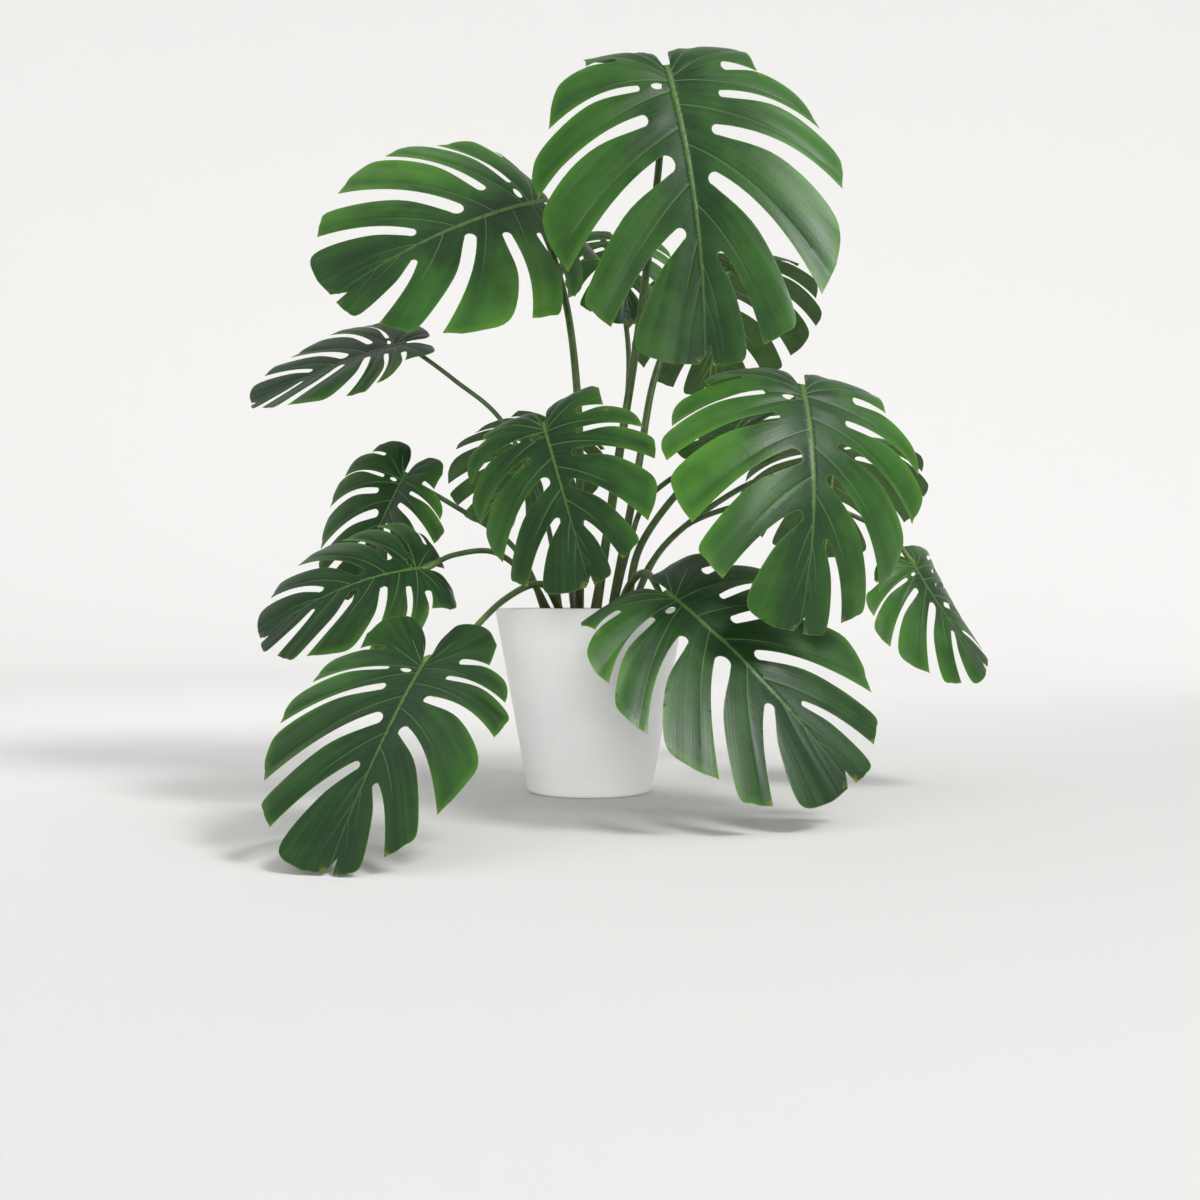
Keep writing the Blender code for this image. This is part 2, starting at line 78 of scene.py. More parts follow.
CHIP_UNEVEN = (0.75, 1.2)  # how its corners differ
CHIP_TONE = (0.35, 1.0)
CHIP_UPRIGHT = 2.0
CHIP_CORNERS = [(1, 0, 0), (-1, 0, 0), (0, 1, 0), (0, -1, 0), (0, 0, 1), (0, 0, -1)]
CHIP_FACES = [(0, 2, 4), (2, 1, 4), (1, 3, 4), (3, 0, 4), (2, 0, 5), (1, 2, 5), (3, 1, 5), (0, 3, 5)]

# ---- Blade surface ----
THICKNESS = 0.0009
EDGE_THINNING = (0.4, 0.003)  # the edge's share of the thickness, and how far in it is full
RIB_WIDTH = (0.0120, 0.0030)  # midrib's half width at the junction and tip, in midrib lengths
RIB_TAPER = 1.1
RIB_END = 0.985
RIB_STOP_U = 0.99
RIB_HEIGHT = 0.34  # of its half width, on the upper face
RIB_DEPTH = 0.85  # of its half width, underneath
VEIN_WIDTH = 0.0018
VEIN_GROOVE = 0.00045  # depth of a side vein's groove on the upper face
VEIN_RIDGE = 0.0007  # and its height underneath
VEIN_FADE = (0.55, 1.02)  # share of its length where a vein starts to fade and has gone
QUILTING = 0.0045  # how far the blade swells between its side veins, in midrib lengths
QUILT_RISE = 0.12  # v by which the swelling is full
QUILT_LEAN = 0.8  # below 1 the swelling is broad
LOBE_SPREAD = 0.022  # how far one lobe stands above or below the next, in midrib lengths
LOBE_RISE = (0.10, 0.50)  # v between which the lobes part
BASE_LOBES = (4, 0.3)  # the first few lobes part less, by this share
HALF_SHIFT = 40  # so that no half or leaf repeats another's streaks
LEAF_SHIFT = 7.3
CLEARANCE = 0.0006
LOWEST_POINT = 0.0004

# ---- Side veins, in shares of the midrib's length ----
BASE_VEINS = (0.30, 0.62, 0.97)  # where the base lobe's veins end, along its outline
VEIN_REACH = 0.86  # how near its lobe's edge a vein ends
VEIN_LEAD = 0.05  # how much nearer the junction a side vein starts than its lobe
VEIN_AIM = (0.35, 0.65)  # it aims between its lobe's two points
VEIN_FOOT_GAP = 0.012  # least gap between two feet
VEIN_SWEEP = (0.04, 0.10)  # its bow, backwards and forwards of the junction
END_SPLIT = (0.13, 0)  # from the last split to where a next one would be
LAST_VEIN_STEP = 0.12
LAST_VEIN_END = (0.985, 0.06)
VEIN_STEPS = 24
VEIN_GAP = 0.10  # the gap between veins past the first and the last
LEAST_GAP = 1e-4
SLOPE_STEP = 0.005

# ---- Blade mesh ----
GRID = 0.0045  # spacing inside a blade
ROW_SHARE = 0.866  # between rows of the triangular grid, by its spacing
VEIN_SPACING = 0.8
VEIN_START = 1.3  # by the midrib's half width
RIB_ROWS = (0, -1, -0.5, 0.5, 1)
# how far points keep from the edge, midrib, veins and one another, by the spacing
VEIN_TO_EDGE, ROW_TO_EDGE, ROW_TO_RIB, ROW_TO_VEIN = 0.4, 0.5, 0.3, 0.6
GRID_TO_EDGE, GRID_TO_LINE, GRID_TO_ROW = 0.55, 0.45, 0.35
MESH_MERGE = 1e-7
BATCH = 64  # marks that are measured at a time
FACING_STEP = 0.002
FACING_BLEND = 0.02  # v by which the upper side is the blade's own, not the midrib's

# ---- Petiole sizes ----
PETIOLE_IN_SOIL = 0.030
PETIOLE_IN_BLADE = 0.016
IN_BLADE_DEPTH = 0.6  # how deep it ends under the midrib, by its radius
BEHIND_ENTRY = 0.4  # the same for one that enters from behind, and how far along it goes
EMERGE_HEIGHT = 0.018  # a petiole's first bend above the soil's edge
PETIOLE_SIDES = 24
PETIOLE_STEPS = 10
TOP_STEPS = 8
AIM_HEIGHT = 0.3  # height above the root that the petiole's inner side faces
KNEE_LENGTH = 0.018
KNEE_SWELLING = 0.22
KNEE_PLACE = (0.022, 0.012)  # from the top, and half its length
END_TAPER = (0.55, 0.010)  # share lost at the very top, and over what length
SHEATH_HEIGHT = 0.16  # how far up the sheath's two lips run
SHEATH_FULL = 0.3  # share of that below which they are whole
SHEATH_START = (-0.002, 0.02)
GROOVE = (0.07, 0.10, 0.38)  # the inner groove's depth, what the sheath adds, and its half angle
LIP = (0.22, 0.72, 0.22)  # a lip's height, its angle from the groove, and its half angle

# ---- Studio ----
STAGE_FLAT = 1.2
STAGE_RADIUS = 3.2
STAGE_CURVE = 1.6
STAGE_HEIGHT = 3.6
STAGE_SEGMENTS = 96
CURVE_STEPS = 16
STAGE_NEAR_COLOUR = (0.558, 0.554, 0.547, 1)
STAGE_FAR_COLOUR = (0.864, 0.859, 0.849, 1)
STAGE_REACH = (4.9, 7.0)  # distance from the key lamp where the near colour ends, and the far starts
KEY_PLACE = (3.0, -2.6, 4.0)
# place, width, power, the point it shines at and its spread in degrees
LIGHTS = {"key": (KEY_PLACE, 1.7, 230, (0, 0, 0.45), 180),
          "front": ((0.1, -3.9, 1.0), 1.2, 6.5, (0, 0, 0.25), 60)}
WORLD_STRENGTH = 0.70
CAMERA_PLACE = (0.014, -2.0, 0.263)
CAMERA_LENS = 43.5
CAMERA_SENSOR = 36

# ---- Blade outline, in shares of the midrib's length ----
# u runs along the midrib from the petiole (0) to the tip (1), v outwards from the midrib.
# base: the rounded lobe behind the petiole. lobes: each lobe's shoulder and its pointed corner,
# from the base to the tip. slits: inner end (u, v) and half width of the split after each lobe.
LEFT_SIDE = {
    "base": [(-0.03, 0.016), (-0.13, 0.042), (-0.205, 0.11), (-0.225, 0.2), (-0.2, 0.3), (-0.14, 0.365)],
    "lobes": [((-0.14, 0.365), (-0.06, 0.385)), ((0.00, 0.475), (0.15, 0.52)),
              ((0.195, 0.545), (0.375, 0.555)), ((0.43, 0.535), (0.665, 0.47)),
              ((0.74, 0.42), (0.865, 0.335)), ((0.925, 0.25), (1.00, 0.02))],
    "slits": [(-0.07, 0.225, 0.012), (0.05, 0.150, 0.012), (0.17, 0.125, 0.022),
              (0.335, 0.055, 0.034), (0.57, 0.052, 0.022)],
}
RIGHT_SIDE = {
    "base": [(-0.03, 0.016), (-0.12, 0.042), (-0.18, 0.11), (-0.19, 0.2), (-0.16, 0.3), (-0.09, 0.365)],
    "lobes": [((-0.09, 0.365), (0.03, 0.38)), ((0.10, 0.47), (0.24, 0.54)),
              ((0.30, 0.575), (0.445, 0.565)), ((0.53, 0.51), (0.79, 0.42)),
              ((0.85, 0.34), (0.945, 0.225)), ((0.975, 0.15), (1.005, 0.03))],
    "slits": [(0.01, 0.22, 0.018), (0.12, 0.165, 0.014), (0.235, 0.11, 0.020),
              (0.385, 0.062, 0.024), (0.65, 0.064, 0.014)],
}
LEFT_SEED, SURFACE_SEED = 100, 300  # added to a leaf's number
TIP_TEAR = (0.945, 0.022)  # inner end of the small tear beside the tip
HOLE_CENTRE = (0.055, -0.068)
HOLE_SIZE = (0.012, 0.028)  # half sizes along and across the midrib
HOLE_STEPS = 24
SINUS_U = -0.03  # bottom of the notch between the lobes behind the junction
RIB_START_U = 0.6 * SINUS_U  # where the midrib has its whole height
LOBE_SWEEP = 0.16  # how far a lobe's edges bow away from a straight line
EDGE_SWEEP = 0.10
SWEEP_WAY = (-1.0, 0.35)  # which way they bow, in (u, v)
MARGIN_BULGE = 0.12  # how far a lobe's outer edge stands out, by its length
DROOP_SPAN = 0.55  # v by which a half has made its whole droop
LEAST_DROOP = 0.01  # degrees added to every droop, so that none is 0
BACK_SPAN = 0.2  # -u by which the lobes behind the petiole have made their bend
BASE_SPAN = (-0.1, 0.3)  # u between which a blade's own base width fades out
SLIT_STEPS = 10  # mesh steps along a slit's edge
ARC_STEPS = 8  # and round its inner end
EDGE_STEPS = 6  # and between two points of a lobe's edge
BASE_STEPS = 8  # and of the base, for its veins
SHAPE_SPREAD = 0.03  # how much one leaf's lobes differ from the next leaf's
LOBE_SHIFT = 0.5  # share of it that a lobe moves
SLIT_SHIFT = (0.4, 3)  # and a slit's inner end, along the midrib and, by its v, across
SETTLE_ROUNDS = 8  # steps in which a tip comes down to the surface

# ---- The leaves ----
# Heights are above the pot's rim.
# junction, tip: where the petiole meets the blade, and the end of the midrib.
# roll: turn about the midrib, right side up. arch: height of the midrib's bow. sway: its sideways
# bow. fold: how steeply the halves rise from the midrib. droop: how far each then bends down.
# back: how far the lobes behind the petiole bend down, or up below 0. twist: turn from junction to
# tip. width: the halves' width against the rule, left and right where two are given, and base_width
# the same near the base. painted_light_and_shade: above 0 its green is lightened as painted light, for
# leaves that catch the lamp, and below 0 darkened as painted shade, for leaves in the shade of others.
# root: where the petiole leaves the soil. girth: its radius at the soil and at the blade. via: points
# that it passes through.
# entry: it ends under its blade, or, with "behind", in the notch, in line with the midrib.
# trailing: the tip hangs down to the surface that the pot stands on.
LEAF_RULE = dict(sway=0, twist=0, width=1, base_width=1, entry="under", trailing=False)
LEAVES = {
    "leaf_01": dict(junction=(0.101, -0.149, 0.685), tip=(0.141, -0.244, 0.296), roll=15, arch=0.03,
        sway=0.025, fold=8, droop=(34, 42), back=72, twist=18, width=0.84, base_width=(0.8, 0.93),
        painted_light_and_shade=0.05, root=(0.008, -0.012), girth=(0.0065, 0.0045),
        via=[(0.035, -0.02, 0.178), (0.062, -0.035, 0.348), (0.088, -0.065, 0.548)]),
    "leaf_02": dict(junction=(-0.072, 0, 0.56), tip=(-0.332, -0.121, 0.403), roll=-56, arch=0.06,
        sway=-0.015, fold=0, droop=(14, 0), back=80, twist=10, width=1.06, painted_light_and_shade=0.1, root=(-0.016, 0.012),
        girth=(0.0065, 0.0045),
        via=[(-0.014, 0.012, 0.168), (-0.017, 0.02, 0.288), (-0.03, 0.035, 0.408), (-0.053, 0.035, 0.498)]),
    "leaf_03": dict(junction=(-0.055, -0.205, 0.226), tip=(0.002, -0.29, 0.027), roll=48, arch=0, fold=13,
        droop=(42, 27), back=72, twist=6, width=0.98, painted_light_and_shade=-0.8, root=(-0.012, -0.045),
        girth=(0.005, 0.0036), via=[(-0.02, -0.085, 0.088), (-0.034, -0.135, 0.168)]),
    "leaf_04": dict(junction=(0.262, -0.227, 0.269), tip=(0.244, -0.31, -0.026), roll=-30, arch=0.1,
        sway=0.01, fold=2, droop=(46, 20), back=50, twist=-24, width=1.05, painted_light_and_shade=0.05, root=(0.05, -0.022),
        girth=(0.0056, 0.004), via=[(0.068, -0.02, 0.082), (0.125, -0.045, 0.163), (0.2, -0.115, 0.233)]),
    "leaf_05": dict(junction=(0.098, -0.268, 0.017), tip=(0.303, -0.33, -0.203), roll=35, arch=0.045,
        fold=3, droop=(10, 12), back=70, twist=3, width=(1.04, 0.97), painted_light_and_shade=-0.75, root=(0.035, -0.055),
        girth=(0.005, 0.0038), via=[(0.055, -0.095, 0.033), (0.074, -0.17, 0.045)]),
    "leaf_06": dict(junction=(-0.188, -0.34, -0.062), tip=(-0.246, -0.62, -0.25), roll=0, arch=0.03, fold=8,
        droop=20, back=-30, width=0.65, painted_light_and_shade=-0.95, trailing=True, entry="behind", root=(-0.035, -0.052),
        girth=(0.005, 0.0032),
        via=[(-0.063, -0.095, 0.032), (-0.108, -0.18, 0.01), (-0.16, -0.275, -0.047)]),
    "leaf_07": dict(junction=(-0.214, -0.141, 0.052), tip=(-0.415, -0.165, -0.04), roll=-45, arch=0.09,
        sway=-0.02, fold=5, droop=(27, 21), back=72, twist=9, width=0.96, painted_light_and_shade=-1.2, entry="behind",
        root=(-0.052, -0.03), girth=(0.0046, 0.0034),
        via=[(-0.08, -0.048, 0.038), (-0.125, -0.08, 0.074), (-0.175, -0.112, 0.07)]),
    "leaf_08": dict(junction=(-0.26, 0.035, 0.185), tip=(-0.33, 0, 0.01), roll=-30, arch=0, sway=-0.03,
        fold=18, droop=(35, 30), back=30, twist=4, width=1.03, painted_light_and_shade=-0.95, root=(-0.06, 0),
        girth=(0.0046, 0.0034), via=[(-0.085, 0.01, 0.053), (-0.12, 0.025, 0.098), (-0.19, 0.05, 0.143)]),
    "leaf_09": dict(junction=(-0.262, -0.005, 0.363), tip=(-0.459, -0.03, 0.277), roll=-30, arch=0.03,
        fold=8, droop=(16, 24), back=30, width=(0.86, 0.84), painted_light_and_shade=-0.95, entry="behind",
        root=(-0.04, 0.012), girth=(0.004, 0.003),
        via=[(-0.062, 0.012, 0.128), (-0.118, 0.002, 0.253), (-0.188, -0.004, 0.315)]),
    "leaf_10": dict(junction=(-0.052, 0.12, 0.256), tip=(-0.17, 0.225, 0.128), roll=25, arch=0.06, fold=10,
        droop=40, back=60, painted_light_and_shade=0.1, root=(-0.022, 0.042), girth=(0.0048, 0.0036),
        via=[(-0.036, 0.06, 0.108), (-0.055, 0.09, 0.198)]),
    "leaf_11": dict(junction=(0.036, 0.125, 0.543), tip=(0.056, 0.06, 0.403), roll=10, arch=0.05, fold=10,
        droop=40, back=60, painted_light_and_shade=-0.1, root=(0.004, 0.036), girth=(0.0048, 0.0034),
        via=[(0.038, 0.06, 0.178), (0.056, 0.11, 0.348), (0.044, 0.15, 0.478)]),
    "leaf_12": dict(junction=(0.212, 0.19, 0.52), tip=(0.192, 0.4, 0.35), roll=0, arch=0.06, fold=8,
        droop=42, back=60, painted_light_and_shade=-0.7, root=(0.03, 0.03), girth=(0.0062, 0.0042),
        via=[(0.068, 0.05, 0.198), (0.098, 0.078, 0.348), (0.165, 0.145, 0.475)]),
    "leaf_13": dict(junction=(0.36, 0.11, 0.238), tip=(0.372, 0.31, 0.078), roll=0, arch=0.06, fold=8,
        droop=40, back=60, painted_light_and_shade=-0.5, root=(0.052, 0.034), girth=(0.005, 0.0038),
        via=[(0.105, 0.045, 0.088), (0.21, 0.075, 0.168), (0.31, 0.105, 0.208)]),
    "leaf_14": dict(junction=(0.189, -0.05, 0.226), tip=(0.249, 0.13, 0.29), roll=0, arch=0.05, fold=8,
        droop=35, back=50, painted_light_and_shade=0.2, root=(0.03, 0.004), girth=(0.0046, 0.0034),
        via=[(0.052, -0.002, 0.078), (0.078, -0.012, 0.148), (0.14, -0.038, 0.193)]),
    "leaf_15": dict(junction=(0.444, -0.014, 0.059), tip=(0.547, 0, -0.084), roll=52, arch=0, sway=-0.04,
        fold=4, droop=(50, 45), back=65, twist=-14, width=1.1, painted_light_and_shade=0.2, entry="behind",
        root=(0.058, 0.006), girth=(0.0044, 0.0032),
        via=[(0.085, 0.004, 0.063), (0.15, -0.004, 0.123), (0.28, -0.01, 0.15), (0.4, -0.012, 0.108)]),
}


# ---- Curves and turned shapes ----
def smooth_curve(points, steps):
    """A smooth curve through the points, in so many steps between each two."""
    points = [np.array(p, float) for p in points]
    points = [2 * points[0] - points[1]] + points + [2 * points[-1] - points[-2]]
    curve = []
    for i in range(1, len(points) - 2):
        a, b, c, d = points[i - 1:i + 3]
        for k in range(steps):
            t = k / steps
            curve.append(0.5 * (2 * b + (c - a) * t + (2 * a - 5 * b + 4 * c - d) * t ** 2
                                + (3 * b - 3 * c + d - a) * t ** 3))
    return curve + [points[-2]]


def bow(start, control, end, steps):
    """A quadratic curve, without its first point."""
    shares = [i / steps for i in range(1, steps + 1)]
    return [(1 - t) ** 2 * start + 2 * t * (1 - t) * control + t * t * end for t in shares]


def ease(low, high, x):
    t = np.clip((x - low) / (high - low), 0, 1)
    return t * t * (3 - 2 * t)


def bell(x):
    return np.exp(-x ** 2)


def unit(vectors):
    """The vectors, each with a length of 1."""
    return vectors / np.linalg.norm(vectors, axis=-1, keepdims=True)


def run_lengths(points):
    """How far along a path each of its points is."""
    return np.r_[0, np.cumsum(np.linalg.norm(np.diff(points, axis=0), axis=1))]


def arc(centre, radius, start, end, steps):
    """Points on an arc in a turned profile, angles in degrees."""
    angles = [radians(start + (end - start) * i / steps) for i in range(steps + 1)]
    return [(centre[0] + radius * cos(a), centre[1] + radius * sin(a)) for a in angles]


def wall_radius(height):
    """The pot's outer radius at a height."""
    return BASE_RADIUS + (RIM_RADIUS - BASE_RADIUS) * height / POT_HEIGHT


def skin(rings, sides):
    """Faces of a closed tube of rings of points; its ends' middle points come last."""
    first = rings * sides
    end = first - sides
    faces = []
    for k in range(sides):
        nxt = (k + 1) % sides
        faces += [(first, k, nxt), (end + k, first + 1, end + nxt)]
        faces += [(a + k, a + sides + k, a + sides + nxt, a + nxt) for a in range(0, end, sides)]
    return faces


def lathe(profile, segments):
    """Points and faces of a turned solid; the profile starts and ends on the axis."""
    angles = [2 * pi * k / segments for k in range(segments)]
    points = [(r * cos(a), r * sin(a), z) for r, z in profile[1:-1] for a in angles]
    points += [(0, 0, profile[0][1]), (0, 0, profile[-1][1])]
    return points, skin(len(profile) - 2, segments)


def link(item):
    bpy.context.scene.collection.objects.link(item)
    return item


def new_piece(name, points, faces, materials):
    mesh = bpy.data.meshes.new(name)
    mesh.from_pydata([tuple(p) for p in points], [], faces)
    mesh.shade_smooth()
    for material in materials:
        mesh.materials.append(material)
    return link(bpy.data.objects.new(name, mesh))


def stands_for(piece, node):
    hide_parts(node)
    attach(piece, BODY)


def note(piece, name, values):
    """Stores one number per point on the piece's mesh, for its material to read."""
    stored = piece.data.attributes.new(name, "FLOAT", "POINT")
    stored.data.foreach_set("value", np.asarray(values, np.float32))


# ---- Blade outline ----
def varied(side, seed):
    """One leaf's own version of a side, a little off the rule."""
    lobes = [tuple(np.array(p) for p in lobe) for lobe in side["lobes"]]
    count = len(lobes)
    spread = np.random.default_rng(seed).uniform(-SHAPE_SPREAD, SHAPE_SPREAD, (2 * count, 3))
    for k in range(1, count - 1):
        (shoulder, corner), (along, outward, _) = lobes[k], spread[k] * LOBE_SHIFT
        lobes[k] = (shoulder + (along, outward), corner + (along / 2, outward))
    slits = [(u + d[0] * SLIT_SHIFT[0], v * (1 + SLIT_SHIFT[1] * d[1]), r)
             for (u, v, r), d in zip(side["slits"], spread[count:])]
    return {"base": side["base"], "lobes": lobes, "slits": slits}


def leaf_sides(seed):
    """Both sides of one leaf, by their sign of v."""
    return {1: varied(RIGHT_SIDE, seed), -1: varied(LEFT_SIDE, seed + LEFT_SEED)}


def lean(chord, share):
    """Offset that bows an edge backwards, by a share of its length."""
    return np.array(SWEEP_WAY) * share * hypot(*chord)


def half_outline(side):
    """One side's outline from the junction to the tip, v positive."""
    outline = smooth_curve(side["base"], EDGE_STEPS)
    low_edge = None
    for k, (shoulder, corner) in enumerate(side["lobes"]):
        if k:
            middle = (low_edge + shoulder) / 2 + lean(shoulder - low_edge, EDGE_SWEEP)
            margin = corner - shoulder
            bulge = (shoulder + corner) / 2 + MARGIN_BULGE * np.array([-margin[1], margin[0]])
            outline += smooth_curve([low_edge, middle, shoulder, bulge, corner], EDGE_STEPS)
        if k < len(side["slits"]):
            u, v, radius = side["slits"][k]
            inner = np.array([u, v])
            control = (inner + corner) / 2 + lean(corner - inner, LOBE_SWEEP)
            along = unit(control - inner)
            across = np.array([-along[1], along[0]])
            across = across if across[0] < 0 else -across
            centre = inner + along * radius
            outline += bow(corner, control, centre + across * radius, SLIT_STEPS)
            for i in range(1, ARC_STEPS):
                a = pi * i / ARC_STEPS
                outline.append(centre + across * radius * cos(a) - along * radius * sin(a))
            low_edge = centre - across * radius
    return outline


def blade_outline(sides):
    """The whole outline, anticlockwise from the junction."""
    left = [p * (1, -1) for p in half_outline(sides[-1])]
    return np.array(half_outline(sides[1]) + [np.array(TIP_TEAR)] + left[::-1])


# ---- Side veins ----
def side_veins(side):
    """One side's veins, from base to tip, each from the midrib to near the edge."""
    slits = [np.array(s[:2]) for s in side["slits"]]
    base = smooth_curve(side["base"], BASE_STEPS)
    feet = [0.0] * len(BASE_VEINS)
    ends = [VEIN_REACH * base[int(share * (len(base) - 1))] for share in BASE_VEINS]
    for k, (shoulder, corner) in enumerate(side["lobes"][1:]):
        before = slits[k]
        after = slits[k + 1] if k + 1 < len(slits) else before + END_SPLIT
        gate = (before + after) / 2
        feet.append(gate[0] - VEIN_LEAD)
        ends.append(gate + (VEIN_AIM[0] * shoulder + VEIN_AIM[1] * corner - gate) * VEIN_REACH)
    feet.append(feet[-1] + LAST_VEIN_STEP)
    ends.append(np.array(LAST_VEIN_END))
    veins = []
    for k, (foot, end) in enumerate(zip(feet, ends)):
        start = np.array([max(foot, VEIN_FOOT_GAP * k), 0.0])
        control = (start + end) / 2 + lean(end - start, VEIN_SWEEP[int(end[0] > 0)])
        veins.append(np.array([start] + bow(start, control, end, VEIN_STEPS)))
    return veins


def vein_reading(veins, u, v):
    """For points of one side: the vein count across the veins, the distance to the nearest vein and
    how strong it still is there."""
    along, slope, reach = [], [], []
    for vein in veins:
        rise = (vein[-1, 0] - vein[-4, 0]) / (vein[-1, 1] - vein[-4, 1])
        here, next_to = (np.interp(w, vein[:, 1], vein[:, 0]) + np.maximum(w - vein[-1, 1], 0) * rise
                         for w in (v, v + SLOPE_STEP))
        along.append(here)
        slope.append((next_to - here) / SLOPE_STEP)
        reach.append(v / vein[-1, 1])
    along, slope, reach = np.maximum.accumulate(along, axis=0), np.array(slope), np.array(reach)
    count = (along <= u).sum(0)
    low, high = (np.clip(c, 0, len(veins) - 1) for c in (count - 1, count))
    pick = np.arange(len(u))
    gap = np.where(low == high, VEIN_GAP, np.maximum(along[high, pick] - along[low, pick], LEAST_GAP))
    across = np.where(count == 0, (u - along[0, pick]) / VEIN_GAP, low + (u - along[low, pick]) / gap)
    away = np.abs(u - along) / np.sqrt(1 + slope ** 2)
    nearest = away.argmin(0)
    return across, away[nearest, pick], 1 - ease(*VEIN_FADE, reach[nearest, pick])


# ---- Flat blade ----
def even_grid(outline, spacing):
    """Points of a triangular grid inside the outline's box."""
    low, high = outline.min(0), outline.max(0)
    rows = np.arange(low[0], high[0], spacing * ROW_SHARE)
    cols = np.arange(low[1], high[1], spacing)
    u, v = np.meshgrid(rows, cols, indexing="ij")
    v = v + (np.arange(len(rows)) % 2)[:, None] * spacing / 2
    return np.stack([u.ravel(), v.ravel()], 1)


def within(points, loop):
    """True for the points inside a closed loop."""
    inside = np.zeros(len(points), bool)
    for (ax, ay), (bx, by) in zip(loop, np.roll(loop, -1, 0)):
        if ay != by:
            spans = (ay > points[:, 1]) != (by > points[:, 1])
            inside ^= spans & (points[:, 0] < ax + (points[:, 1] - ay) / (by - ay) * (bx - ax))
    return inside


def distance(points, marks):
    """From each point to the nearest mark."""
    best = np.full(len(points), np.inf)
    for start in range(0, len(marks), BATCH):
        group = marks[start:start + BATCH]
        gaps = np.hypot(*(points[:, None, i] - group[None, :, i] for i in (0, 1)))
        best = np.minimum(best, gaps.min(1))
    return best


def clear_of(points, *groups):
    """The points that are further from each group's marks than its gap."""
    for marks, gap in groups:
        points = points[distance(points, marks) > gap]
    return points


def close_marks(loop, spacing):
    """The loop's points, with more put between them."""
    marks = []
    for a, b in zip(loop, np.roll(loop, -1, 0)):
        steps = max(1, int(hypot(*(b - a)) / spacing))
        marks += [a + (b - a) * i / steps for i in range(steps)]
    return np.array(marks)


def rib_width(u):
    """The midrib's half width, in midrib lengths."""
    wide, narrow = RIB_WIDTH
    return narrow + (wide - narrow) * np.clip(1 - u, 0, 1) ** RIB_TAPER


